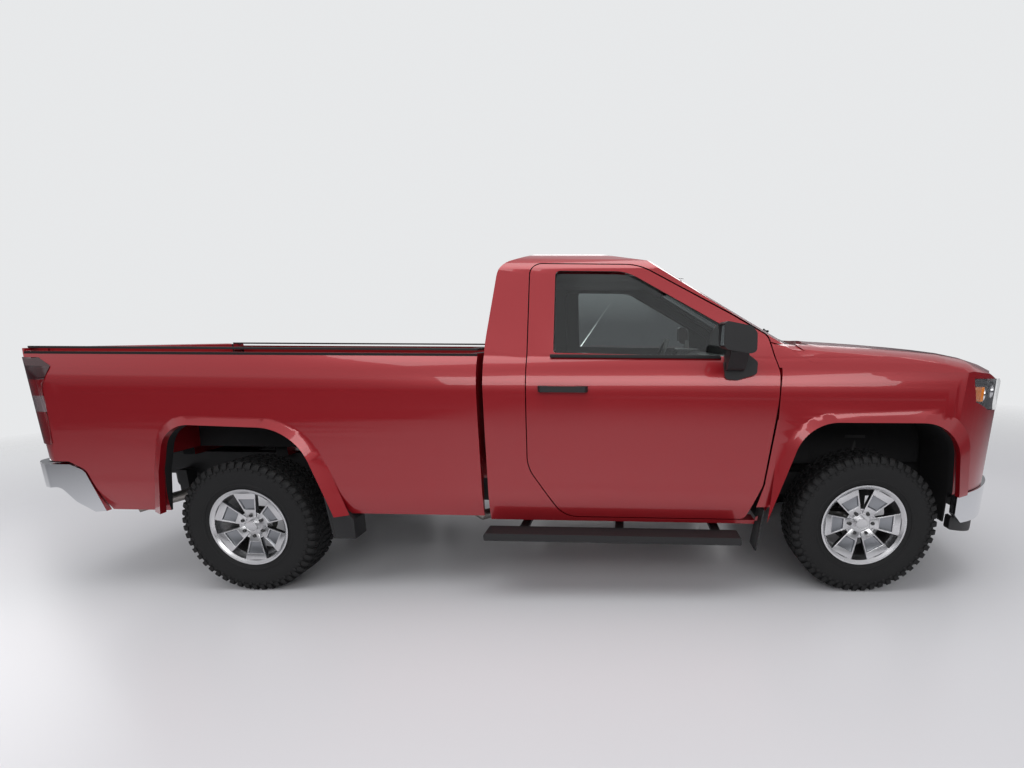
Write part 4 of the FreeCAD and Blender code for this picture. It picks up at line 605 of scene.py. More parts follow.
    @staticmethod
    def touch(piece: Piece, start: Point, direction: Point) -> Vector:
        """Finds where a line first meets a piece.

        Args:
            piece: the object to meet.
            start: a point on the line.
            direction: which way the line goes.

        Returns:
            The point where it meets the surface.
        """
        hit, place, _, _ = piece.ray_cast(Vector(start), Vector(direction))
        if not hit:
            raise ValueError(f"no surface of {piece.name} ahead of {tuple(start)}")
        return place

    @staticmethod
    def paint(piece: Piece, finish: Finish, wanted: Callable[[Vector, Vector], bool]) -> None:
        """Gives a second finish to the faces that a test picks.

        Args:
            piece: the object to paint.
            finish: the finish of those faces.
            wanted: told a face's middle and direction, says whether it gets the finish.
        """
        piece.data.materials.append(finish.material())
        index = len(piece.data.materials) - 1
        for face in piece.data.polygons:
            if wanted(face.center, face.normal):
                face.material_index = index

    @staticmethod
    def pick(piece: Piece, wanted: Callable[[Vector, Vector], bool]) -> int:
        """Opens a piece in edit mode with some of its faces selected.

        Args:
            piece: the object to open.
            wanted: told a face's middle and direction, says whether to select it.

        Returns:
            How many faces are selected.
        """
        Bench.take(piece)
        bpy.ops.object.mode_set(mode="EDIT")
        bpy.ops.mesh.select_mode(type="FACE")
        bpy.ops.mesh.select_all(action="DESELECT")
        bpy.ops.object.mode_set(mode="OBJECT")
        count = 0
        for face in piece.data.polygons:
            face.select = wanted(face.center, face.normal)
            count += face.select
        bpy.ops.object.mode_set(mode="EDIT")
        return count

    @staticmethod
    def press(piece: Piece, wanted: Callable[[Vector, Vector], bool], margin: float, depth: float,
              each: bool = False) -> Piece:
        """Insets faces and pushes them out, or in with a depth below 0.

        Args:
            piece: the object to shape.
            wanted: told a face's middle and direction, says whether to press it.
            margin: width of the rim left round the pressed part.
            depth: how far it goes out.
            each: True to press each face by itself.

        Returns:
            The same object.
        """
        if Bench.pick(piece, wanted):
            bpy.ops.mesh.inset(thickness=margin, depth=0.0, use_individual=each)
            bpy.ops.mesh.inset(thickness=abs(depth) * PRESS_LEAN, depth=depth, use_individual=each)
        bpy.ops.object.mode_set(mode="OBJECT")
        return piece

    @staticmethod
    def shift(piece: Piece, wanted: Callable[[Vector, Vector], bool], move: Point = (0.0, 0.0, 0.0),
              scale: Point = (1.0, 1.0, 1.0), centre: Point = (0.0, 0.0, 0.0)) -> Piece:
        """Moves and scales some faces of a piece.

        Args:
            piece: the object to shape.
            wanted: told a face's middle and direction, says whether it moves.
            move: how far the faces go.
            scale: how much they grow.
            centre: the point they grow from.

        Returns:
            The same object.
        """
        if Bench.pick(piece, wanted):
            bpy.ops.transform.resize(value=scale, center_override=centre)
            bpy.ops.transform.translate(value=move)
        bpy.ops.object.mode_set(mode="OBJECT")
        return piece

    @staticmethod
    def soften(piece: Piece, levels: int = 2) -> Piece:
        """Rounds a whole piece with an applied Subdivision Surface modifier.

        Args:
            piece: the object to round.
            levels: how many times its faces are divided.

        Returns:
            The same object.
        """
        Bench.take(piece)
        smooth = piece.modifiers.new("softened", "SUBSURF")
        smooth.levels = levels
        bpy.ops.object.modifier_apply(modifier=smooth.name)
        return piece

    @staticmethod
    def sheet(piece: Piece, wanted: Callable[[Vector, Vector], bool], thickness: float,
              border: float = 0.0) -> Piece:
        """Keeps some faces of a piece, or the border round them, as a thin closed sheet.

        Args:
            piece: the object to reduce.
            wanted: told a face's middle and direction, says whether to keep it.
            thickness: how thick the sheet becomes, outwards from the faces.
            border: width of the border to keep, or 0 to keep the whole.

        Returns:
            The same object.
        """
        Bench.pick(piece, lambda centre, normal: not wanted(centre, normal))
        bpy.ops.mesh.delete(type="FACE")
        if border:
            bpy.ops.mesh.select_all(action="SELECT")
            bpy.ops.mesh.inset(thickness=border, depth=0.0)
            bpy.ops.mesh.delete(type="FACE")
        bpy.ops.object.mode_set(mode="OBJECT")
        solid = piece.modifiers.new("thick", "SOLIDIFY")
        solid.thickness = thickness
        solid.offset = 1.0
        bpy.ops.object.modifier_apply(modifier=solid.name)
        return piece

    @staticmethod
    def fit(piece: Piece, body: str, slot: str) -> Piece:
        """Lets a finished piece ride with a body.

        Args:
            piece: the finished object.
            body: the CAD body that it moves with.
            slot: the name of its material slot; not used.

        Returns:
            The same object.
        """
        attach(piece, body)
        LOG.info("%s rides with %s", piece.name, body)
        return piece


@dataclass(frozen=True)
class TreadRow:
    """One row of tread blocks.

    It has its edges across the tread, the share of the pitch that a block fills, and how far askew
    the blocks' ends are cut.
    """

    name: str
    inner: float
    outer: float
    share: float
    lean: float


@dataclass(frozen=True)
class TyreSizes:
    """Sizes of an all-terrain tyre, in metres, about its own centre.

    The side is given from the bead outwards as radius and place along the axle.
    """

    radius: float = 0.3975
    carcass: float = 0.3900
    crown: float = 0.0860
    half: float = 0.1318
    pitch: int = 50
    side: tuple[tuple[float, float], ...] = (
        (0.2265, 0.101), (0.240, 0.1135), (0.2560, 0.1195), (0.2585, 0.1240), (0.2660, 0.1255),
        (0.2700, 0.1235), (0.300, 0.1285), (0.330, 0.1300), (0.350, 0.1275), (0.366, 0.1225),
        (0.3790, 0.1150), (0.3870, 0.1040))
    middle_row: TreadRow = TreadRow("tread_middle", -0.019, 0.019, 0.74, 0.6)
    outer_rows: tuple[TreadRow, ...] = (TreadRow("tread_outer", 0.026, 0.060, 0.70, -0.7),
                                        TreadRow("tread_shoulder", 0.067, 0.100, 0.66, 0.5))
    lug_half: float = 0.0135
    lug_inner: float = 0.096
    lug_foot: float = 0.360
    rib_half: float = 0.008
    rib_inner: float = 0.118
    rib_reach: tuple[float, float] = (0.338, 0.362)


@dataclass(frozen=True)
class RimSizes:
    """Sizes of a cast alloy wheel, in metres, about its own centre.

    The barrel is given round its section as radius and place along the axle, and a reach is the two
    ends of a round piece on the axle.
    """

    hub: float = 0.086
    hub_back: float = 0.020
    hub_face: float = 0.074
    plate_reach: tuple[float, float] = (-0.030, 0.022)
    cap: float = 0.034
    cap_reach: tuple[float, float] = (0.060, 0.096)
    nut_circle: float = 0.0635
    nut: float = 0.0112
    nut_reach: tuple[float, float] = (0.060, 0.088)
    spoke_root: float = 0.026
    spoke_tip: float = 0.067
    spoke_back: float = 0.040
    spoke_foot: float = 0.050
    spoke_rise: float = 0.030
    pocket: tuple[float, float] = (0.092, 0.176)
    pocket_depth: float = 0.006
    reach: float = 0.207
    valve: float = 0.004
    valve_ends: tuple[Point, Point] = ((0.0, 0.060, -0.196), (0.0, 0.090, -0.188))
    barrel: tuple[tuple[float, float], ...] = (
        (0.2335, 0.1168), (0.2335, 0.1090), (0.2235, 0.1050), (0.2190, 0.0850), (0.2060, 0.0700),
        (0.2040, -0.0850), (0.2230, -0.1000), (0.2335, -0.1040), (0.2335, -0.1150), (0.2260, -0.1150),
        (0.2120, -0.0980), (0.1960, -0.0800), (0.1960, 0.0620), (0.2050, 0.0780), (0.2110, 0.1060),
        (0.2240, 0.1168))


class Wheel:
    """One wheel: tyre with its tread and side ribs, and a six-spoke alloy rim."""

    def __init__(self, tyre: TyreSizes, rim: RimSizes) -> None:
        self.tyre = tyre
        self.rim = rim

    def carcass(self) -> Piece:
        """Models the tyre's body with its bead, side wall and shoulder.

        Returns:
            The body.
        """
        half = [*self.tyre.side, (self.tyre.carcass, self.tyre.crown)]
        ring = [(r, -y) for r, y in half] + [(r, y) for r, y in reversed(half)]
        return Bench.turned("tyre_carcass", ring, 96)

    def tread_block(self, row: TreadRow) -> Piece:
        """Models one block of the tread and repeats it round the tyre.

        Args:
            row: the row that it belongs to.

        Returns:
            The whole row as one object.
        """
        t = self.tyre
        half = math.pi * t.radius / t.pitch * row.share
        block = Bench.block(row.name, (-half, row.inner, t.carcass - 0.004),
                            (half, row.outer, t.radius - 0.0006))
        for end in (1, -1):
            Bench.slice(block, (end * half * 0.80, (row.inner + row.outer) / 2, 0.0), (end, row.lean, 0.0))
        Bench.press(block, lambda centre, normal: normal.z > 0.9, 0.004, -0.0012)
        Bench.round_edges(block, 0.0012, 1)
        return Bench.spread(block, t.pitch, start=row.lean * math.pi / t.pitch)

    def side_lugs(self) -> Piece:
        """Models the lugs that run from the shoulder down the side wall, and the ribs between them.

        Returns:
            The lugs and ribs of one side.
        """
        t = self.tyre
        high = (t.lug_half, t.half - 0.002, t.radius - 0.001)
        lug = Bench.block("shoulder_lug", (-t.lug_half, t.lug_inner, t.lug_foot), high)
        Bench.slice(lug, (0.0, t.half - 0.0145, high[2]), (0.0, 1.0, 0.78))
        for end in (1, -1):
            Bench.slice(lug, (end * 0.010, 0.12, t.lug_foot), (end, 0.0, -0.35))
        Bench.round_edges(lug, 0.0014, 1)
        ring = Bench.spread(lug, t.pitch, start=math.pi / t.pitch)
        foot, top = t.rib_reach
        rib = Bench.block("side_rib", (-t.rib_half, t.rib_inner, foot), (t.rib_half, t.half, top))
        Bench.slice(rib, (0.0, t.half, 0.345), (0.0, 0.6, -1.0))
        Bench.round_edges(rib, 0.0012, 1)
        return Bench.join("side_lugs", [ring, Bench.spread(rib, t.pitch)])

    def build_tyre(self) -> Piece:
        """Puts the tyre together.

        Returns:
            The tyre, standing at the origin.
        """
        flip = Matrix.Rotation(math.pi, 4, Axis.Z.value)
        outer = [self.tread_block(row) for row in (self.tyre.middle_row, *self.tyre.outer_rows)]
        inner = [Bench.copy(row, f"{row.name}_in", flip) for row in outer[1:]]
        lugs = self.side_lugs()
        rows = outer + inner + [lugs, Bench.copy(lugs, "side_lugs_in", flip)]
        return Bench.dress(Bench.join("tyre_model", [self.carcass()] + rows), RUBBER, 35.0)

    def sunk(self, centre: Vector, normal: Vector) -> bool:
        """Tells whether a face lies in the pocket of a spoke, or on its flanks or back.

        Args:
            centre: the face's middle.
            normal: the direction that it looks in.

        Returns:
            True if it does.
        """
        s = self.rim
        share = (centre.z - s.spoke_foot) / (s.reach - s.spoke_foot)
        front = s.hub_face + s.spoke_rise * share
        return centre.y < front - s.pocket_depth or abs(normal.x) > 0.8

    def spoke(self) -> Piece:
        """Models one flared spoke: two raised edges round a sunk pocket.

        Returns:
            The spoke that points up.
        """
        s = self.rim
        spoke = Bench.block("spoke", (-s.spoke_root, s.spoke_back, s.spoke_foot),
                            (s.spoke_root, s.hub_face, s.reach))
        grow = s.spoke_tip / s.spoke_root
        Bench.shift(spoke, lambda centre, normal: normal.z > 0.9, (0.0, s.spoke_rise, 0.0), (grow, 0.8, 1.0),
                    (0.0, s.hub_face, s.reach))
        foot, top = s.pocket
        for z in s.pocket:
            Bench.slice(spoke, (0.0, 0.0, z), Axis.Z.value, keep=True)
        Bench.press(spoke, lambda centre, normal: normal.y > 0.5 and foot < centre.z < top, 0.0075, -0.012)
        Bench.round_edges(spoke, 0.0022, 2)
        Bench.dress(spoke, ALLOY)
        Bench.paint(spoke, ALLOY_POCKET, self.sunk)
        return spoke

    def build_rim(self) -> Piece:
        """Puts the rim together: barrel, spokes, hub, cap, nuts, back plate and valve.

        Returns:
            The rim, standing at the origin.
        """
        s = self.rim
        barrel = Bench.dress(Bench.turned("barrel", list(s.barrel), 96), ALLOY, 25.0)
        spokes = Bench.spread(self.spoke(), SPOKES)
        hub = Bench.rod("hub", (0.0, s.hub_back, 0.0), (0.0, s.hub_face, 0.0), s.hub, 48)
        Bench.press(hub, lambda centre, normal: normal.y > 0.9, 0.010, -0.004)
        Bench.round_edges(hub, 0.003, 3)
        cap = Bench.rod("cap", *[(0.0, y, 0.0) for y in s.cap_reach], s.cap, 48)
        Bench.press(cap, lambda centre, normal: normal.y > 0.9, 0.004, -0.002)
        Bench.round_edges(cap, 0.003, 3)
        nut = Bench.rod("nut", *[(0.0, y, s.nut_circle) for y in s.nut_reach], s.nut, 6)
        Bench.round_edges(nut, 0.0035, 3, 30.0)
        nuts = Bench.dress(Bench.spread(nut, SPOKES), GLOSS_BLACK)
        back = Bench.rod("back_plate", *[(0.0, y, 0.0) for y in s.plate_reach], s.hub, 48)
        Bench.round_edges(back, 0.004)
        valve = Bench.rod("valve", *s.valve_ends, s.valve, 12)
        Bench.round_edges(valve, 0.001)
        pieces = [barrel, spokes, Bench.dress(hub, ALLOY), Bench.dress(cap, ALLOY), nuts,
                  Bench.dress(back, CAST_METAL), Bench.dress(valve, SEAL)]
        return Bench.join("rim_model", pieces)

    def build(self) -> None:
        """Models one wheel and stands four of it, each turned a little, in place of the CAD ones."""
        tyre, rim = self.build_tyre(), self.build_rim()
        turns = {("front", Side.LEFT): 0.3, ("front", Side.RIGHT): math.pi / 6, ("rear", Side.LEFT): 0.7,
                 ("rear", Side.RIGHT): 0.0}
        for (end, side), turn in turns.items():
            x = FRONT_AXLE_X if end == "front" else REAR_AXLE_X
            facing = Matrix.Rotation(0.0 if side is Side.LEFT else math.pi, 4, Axis.Z.value)
            move = Matrix.Translation((x, side.value * WHEEL_Y, AXLE_Z)) @ facing
            move = move @ Matrix.Rotation(turn, 4, Axis.Y.value)
            for piece, kind, slot in ((tyre, "tyre", "tyre_rubber"), (rim, "rim", "bright_alloy")):
                node = f"{kind}_{end}_{side.word}"
                placed = Bench.copy(piece, f"{node}_finished", move)
                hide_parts(node)
                Bench.fit(placed, f"wheel_{end}_{side.word}", slot)
        for piece in (tyre, rim):
            bpy.data.objects.remove(piece, do_unlink=True)


@dataclass(frozen=True)
class Skin:
    """How one CAD node is finished: its look, its slot and the rounding of its edges."""

    node: str
    finish: Finish
    slot: str
    bevel: float = 0.0


@dataclass(frozen=True)
class BodySizes:
    """Places, in metres, that tell the body's painted faces from its lined ones."""

    paint_bevel: float = 0.0012
    grille_bevel: float = 0.002
    bright_bar: float = 1.0
    lip: float = 0.985
    panel_top: float = 1.36
    arch_reach: float = 0.80
    bed_side: float = 0.5
    bed_liner_top: float = 1.25
    border: float = 0.045
    border_thickness: float = 0.0006
    cowl: Box = Box((1.33, -0.69, 1.25), (1.70, 0.69, 1.50))
    cabin: Box = Box((-0.10, -0.90, 0.59), (1.45, 0.90, 1.88))
    cabin_middle: Point = (0.62, 0.0, 1.20)


class Bodywork:
    """Panels, trim and underbody that keep the shape of their CAD nodes.

    The tests that pick faces compare a face's direction with the way it would look if it were lined.
    A higher share asks for a face that looks that way more squarely.
    """

    painted = ("cab_shell", "door_left", "door_right", "hood", "fenders", "bedsides", "tailgate", "bed_box")
    plain = (
        Skin("bed_rail_caps", BLACK_PLASTIC, "black_plastic", 0.003),
        Skin("tailgate_handle", BLACK_PLASTIC, "black_plastic", 0.002),
        Skin("wheel_liners", LINER, "liner_plastic"),
        Skin("core_support", BLACK_STEEL, "black_steel"),
        Skin("front_valance", BLACK_PLASTIC, "black_plastic", 0.002),
        Skin("bumper_step_pads", BLACK_PLASTIC, "black_plastic", 0.0008),
        Skin("frame_rails", BLACK_STEEL, "black_steel"),
        Skin("engine_block", CAST_METAL, "cast_metal", 0.01),
        Skin("driveline", CAST_METAL, "cast_metal"),
        Skin("exhaust", EXHAUST, "exhaust_steel"),
        Skin("running_boards", BLACK_PLASTIC, "black_plastic", 0.003),
        Skin("rear_axle", BLACK_STEEL, "black_steel"),
        Skin("front_suspension", BLACK_STEEL, "black_steel"),
        Skin("knuckle_left", DISC_STEEL, "cast_metal"),
        Skin("knuckle_right", DISC_STEEL, "cast_metal"),
        Skin("spare_wheel", RUBBER, "tyre_rubber"),
        Skin("rear_bumper", CHROME, "chrome", 0.002),
        Skin("front_bumper", CHROME, "chrome", 0.002),
        Skin("dashboard", TRIM, "grey_trim", 0.004),
        Skin("steering_wheel", BLACK_PLASTIC, "grey_trim", 0.002),
        Skin("seat_base", TRIM, "grey_trim"),
        Skin("door_trim_left", BLACK_PLASTIC, "black_plastic", 0.004),
        Skin("door_trim_right", BLACK_PLASTIC, "black_plastic", 0.004),
    )
    glass = ("windshield", "rear_window", "door_glass_left", "door_glass_right")
    bonded = (("windshield", (0.5, 0.0, 0.8)), ("rear_window", (-1.0, 0.0, 0.0)))

    def __init__(self, sizes: BodySizes) -> None:
        self.sizes = sizes

    def build(self) -> None:
        """Finishes every node that keeps its CAD shape."""
        s = self.sizes
        panels = {}
        for node in self.painted:
            panels[node] = Bench.skin(node, f"{node}_panel", RED_PAINT, s.paint_bevel)
        grille = Bench.skin("grille", "grille_finished", GLOSS_BLACK, s.grille_bevel)
        for node in ("cab_shell", "door_left", "door_right"):
            Bench.paint(panels[node], TRIM, self.indoors)
        for node in ("bedsides", "fenders"):
            for side in Side:
                Bench.slice(panels[node], (0.0, side.value * s.lip, 0.0), Axis.Y.value, keep=True)
            Bench.paint(panels[node], LINER, self.inboard)
            Bench.paint(panels[node], LINER, self.arch)
            Bench.even(panels[node])
        Bench.paint(panels["bed_box"], LINER, self.wheelward)
        Bench.paint(panels["cab_shell"], BLACK_PLASTIC, self.cowl)
        Bench.paint(grille, CHROME, lambda centre, normal: normal.x > 0.6 and centre.z > s.bright_bar)
        for skin in self.plain:
            made = Bench.skin(skin.node, f"{skin.node}_finished", skin.finish, skin.bevel)
        for node, facing in self.bonded:
            self.frit(node, Vector(facing))
        for node in self.glass:
            Bench.skin(node, f"{node}_pane", CLEAR_GLASS)

    def inboard(self, centre: Vector, normal: Vector) -> bool:
        """Tells whether a face of a side panel looks inwards, under the panel."""
        return centre.y * normal.y < -0.25 and centre.z < self.sizes.panel_top

    def arch(self, centre: Vector, normal: Vector) -> bool:
        """Tells whether a face lines a wheel arch inside its painted lip.

        Args:
            centre: the face's middle.
            normal: the direction that it looks in.

        Returns:
            True if it does.
        """
        for x in (FRONT_AXLE_X, REAR_AXLE_X):
            away = Vector((x - centre.x, 0.0, AXLE_Z - centre.z))
            within = away.length < self.sizes.arch_reach and abs(centre.y) < self.sizes.lip
            if within and centre.y * normal.y < 0.30:
                return away.normalized().dot(normal) > 0.15
        return False

    def wheelward(self, centre: Vector, normal: Vector) -> bool:
        """Tells whether a face of the bed looks down, or out at a wheel or a bed side."""
        outer = abs(centre.y) > self.sizes.bed_side and centre.y * normal.y > 0.3
        return normal.z < -0.3 or (outer and centre.z < self.sizes.bed_liner_top)

    def cowl(self, centre: Vector, normal: Vector) -> bool:
        """Tells whether a face belongs to the shelf at the foot of the windshield."""
        return self.sizes.cowl.holds(centre) and normal.z > 0.25

    def indoors(self, centre: Vector, normal: Vector) -> bool:
        """Tells whether a face looks into the cabin."""
        inwards = (Vector(self.sizes.cabin_middle) - centre).normalized()
        return self.sizes.cabin.holds(centre) and inwards.dot(normal) > 0.30

    def frit(self, node: str, facing: Vector) -> None:
        """Adds the black printed border round a bonded pane.

        Args:
            node: the pane's CAD node.
            facing: the direction that its outer face looks in.
        """
        s = self.sizes
        border = Bench.merge(Bench.free(Bench.copy(frame["nodes"][node], f"{node}_border")))
        Bench.sheet(border, lambda centre, normal: normal.dot(facing.normalized()) > 0.7, s.border_thickness,
                    s.border)
        Bench.fit(Bench.dress(border, GLOSS_BLACK), "truck_body", "black_plastic")


@dataclass(frozen=True)
class HeadLampSizes:
    """Sizes of a head lamp, in metres. A place ahead of a bowl is above 0, and one behind it below."""

    cover: float = 0.0012
    housing_behind: float = 0.016
    housing_scale: Point = (1.0, 0.985, 0.97)
    housing_middle: Point = (2.66, 0.0, 1.10)
    bowl_places: tuple[tuple[float, float], ...] = ((0.64, 1.118), (0.75, 1.112), (0.855, 1.106))
    bowl_behind: float = 0.055
    bowl_rings: tuple[tuple[float, float], ...] = (
        (0.006, -0.052), (0.024, -0.046), (0.036, -0.026), (0.042, 0.0), (0.046, 0.002), (0.046, -0.004),
        (0.040, -0.030), (0.026, -0.052), (0.006, -0.058))
    hole: float = 0.0455
    hole_reach: tuple[float, float] = (-0.05, 0.12)
    bulb: float = 0.010
    bulb_reach: tuple[float, float] = (-0.056, -0.018)
    marker_length: tuple[float, float] = (2.505, 2.568)
    marker_height: tuple[float, float] = (1.070, 1.150)
    marker_depth: tuple[float, float] = (0.010, 0.034)
    marker_sight: tuple[float, float] = (2.535, 1.11)


@dataclass(frozen=True)
class TailLampSizes:
    """Heights of the tail lamp's bands above the ground, in metres."""

    clear_foot: float = 1.095
    clear_top: float = 1.185
    dark_foot: float = 1.275
    margin: float = 0.002


class Lamps:
    """Head lamps and tail lamps."""

    def __init__(self, head: HeadLampSizes, tail: TailLampSizes) -> None:
        self.head = head
        self.tail = tail

    def build(self) -> None:
        """Finishes the lamps of both ends."""
        cover = self.head_cover()
        housing = self.head_housing()
        for side in Side:
            for i, (y, z) in enumerate(self.head.bowl_places):
                self.head_bowl(f"{side.word}_{i}", side.value * y, z, cover, housing)
            self.marker(side, cover)
        self.tail_lenses()

    def head_cover(self) -> Piece:
        """Makes the clear cover of both head lamps from the lamps' outer faces.

        Returns:
            The cover.
        """
        cover = Bench.skin("headlamps", "headlamp_covers", LAMP_LENS)
        Bench.sheet(cover, lambda centre, normal: normal.x > 0.25 or centre.y * normal.y > 0.60,
                    self.head.cover)
        return Bench.fit(Bench.dress(cover, LAMP_LENS), "truck_body", "lamp_lens")

    def head_housing(self) -> Piece:
        """Makes the dark housing that stands behind the clear cover.

        Returns:
            The housing.
        """
        h = self.head
        housing = Bench.skin("headlamps", "headlamp_housings", GLOSS_BLACK)
        with Bench.opened(housing):
            bpy.ops.transform.translate(value=(-h.housing_behind, 0.0, 0.0))
            bpy.ops.transform.resize(value=h.housing_scale, center_override=h.housing_middle)
        return Bench.fit(housing, "truck_body", "black_plastic")

    def head_bowl(self, label: str, y: float, z: float, cover: Piece, housing: Piece) -> None:
        """Sets one bright bowl with its bulb in a hole of the housing.

        Args:
            label: the end of the bowl's name.
            y: where it stands across the truck.
            z: its height.
            cover: the clear cover, which gives its depth.
            housing: the housing that it is let into.
        """
        h = self.head
        x = Bench.touch(cover, (4.0, y, z), (-1.0, 0.0, 0.0)).x - h.bowl_behind
        bowl = Bench.turned(f"headlamp_bowl_{label}", list(h.bowl_rings), 32)
        bowl.matrix_world = Matrix.Translation((x, y, z)) @ Matrix.Rotation(-math.pi / 2, 4, Axis.Z.value)
        Bench.settle(bowl)
        ends = [(x + reach, y, z) for reach in h.hole_reach]
        Bench.carve(housing, Bench.rod("hole", *ends, h.hole, 32))
        ends = [(x + reach, y, z) for reach in h.bulb_reach]
        bulb = Bench.round_edges(Bench.rod(f"headlamp_bulb_{label}", *ends, h.bulb, 16), 0.004, 3)
        dressed = [Bench.dress(bowl, LAMP_BRIGHT), Bench.dress(bulb, LAMP_CLEAR)]
        Bench.fit(Bench.join(f"headlamp_bowl_{label}", dressed), "truck_body", "lamp_lens")

    def marker(self, side: Side, cover: Piece) -> None:
        """Sets the amber marker behind the outer end of a head lamp's cover.

        Args:
            side: the lamp's side.
            cover: the clear cover, which gives its depth.
        """
        h = self.head
        x, z = h.marker_sight
        edge = abs(Bench.touch(cover, (x, side.value * 2.0, z), (0.0, -side.value, 0.0)).y)
        place = Box((h.marker_length[0], edge - h.marker_depth[1], h.marker_height[0]),
                    (h.marker_length[1], edge - h.marker_depth[0], h.marker_height[1]))
        marker = Bench.block(f"headlamp_marker_{side.word}", *place.on(side))
        Bench.round_edges(marker, 0.008, 3)
        Bench.fit(Bench.dress(marker, AMBER), "truck_body", "lamp_lens")

    def tail_lenses(self) -> None:
        """Gives the tail lamps a red lens with a clear band and a dark top."""
        t = self.tail
        lamps = Bench.skin("tail_lamps", "tail_lamp_lenses", TAIL_LENS)
        for z in (t.clear_foot, t.clear_top, t.dark_foot):
            Bench.slice(lamps, (0.0, 0.0, z), Axis.Z.value, keep=True)
        foot, top = t.clear_foot + t.margin, t.clear_top - t.margin
        Bench.paint(lamps, LAMP_CLEAR, lambda centre, normal: foot <= centre.z <= top)
        Bench.paint(lamps, TAIL_DARK, lambda centre, normal: centre.z >= t.dark_foot + t.margin)


@dataclass(frozen=True)
class BenchSeat:
    """Sizes of the three-place seat, in metres, in the body's level frame."""

    places: tuple[tuple[float, float], ...] = ((-0.695, -0.165), (-0.155, 0.155), (0.165, 0.695))
    wide_place: float = 0.4
    front: float = 0.575
    rear: float = 0.055
    cushion_gap: float = 0.012
    cushion_low: float = 0.744
    cushion_top: float = 0.888
    cushion_rise: float = 0.035
    cushion_seam: float = 0.38
    back_reach: tuple[float, float] = (0.003, 0.102)
    back_low: float = 0.925
    back_top: float = 1.415
    back_seams: tuple[float, ...] = (1.08, 1.25)
    recline: float = 0.098
    crown: float = 0.016
    rest_places: float = 0.43
    rest: Box = Box((-0.022, -0.118, 1.450), (0.052, 0.118, 1.592))
    post_gap: float = 0.06
    post_foot: tuple[float, float] = (0.004, 1.36)
    post_top: tuple[float, float] = (0.012, 1.47)
    post_radius: float = 0.006


@dataclass(frozen=True)
class DashSizes:
    """Places of the dashboard's fittings, in metres, in the body's level frame."""

    hood: Box = Box((0.985, 0.215, 1.270), (1.180, 0.585, 1.368))
    hood_middle: Point = (1.08, 0.4, 1.37)
    face: Box = Box((1.015, 0.235, 1.280), (1.024, 0.565, 1.350))
    stack: Box = Box((0.935, -0.155, 1.000), (1.050, 0.155, 1.315))
    screen: Box = Box((0.918, -0.118, 1.180), (0.940, 0.118, 1.320))
    column_ends: tuple[Point, Point] = ((0.945, 0.4, 1.215), (1.16, 0.4, 1.09))
    column_radius: float = 0.045
    vent: Box = Box((0.968, -0.052, 1.195), (1.010, 0.052, 1.262))
    vent_places: tuple[float, ...] = (-0.72, -0.225, 0.225, 0.72)
    vent_slats: tuple[float, ...] = (1.208, 1.2205, 1.233, 1.2455)
    knob_places: tuple[float, ...] = (-0.09, 0.0, 0.09)
    knob_reach: tuple[float, float] = (0.912, 0.945)
    knob_height: float = 1.10
    knob_radius: float = 0.019


@dataclass(frozen=True)
class DoorPanelSizes:
    """Places of the fittings inside the left door, in metres, in the body's level frame."""

    rest: Box = Box((0.36, 0.800, 0.985), (1.02, 0.868, 1.045))
    pocket: Box = Box((0.40, 0.820, 0.700), (1.15, 0.868, 0.800))


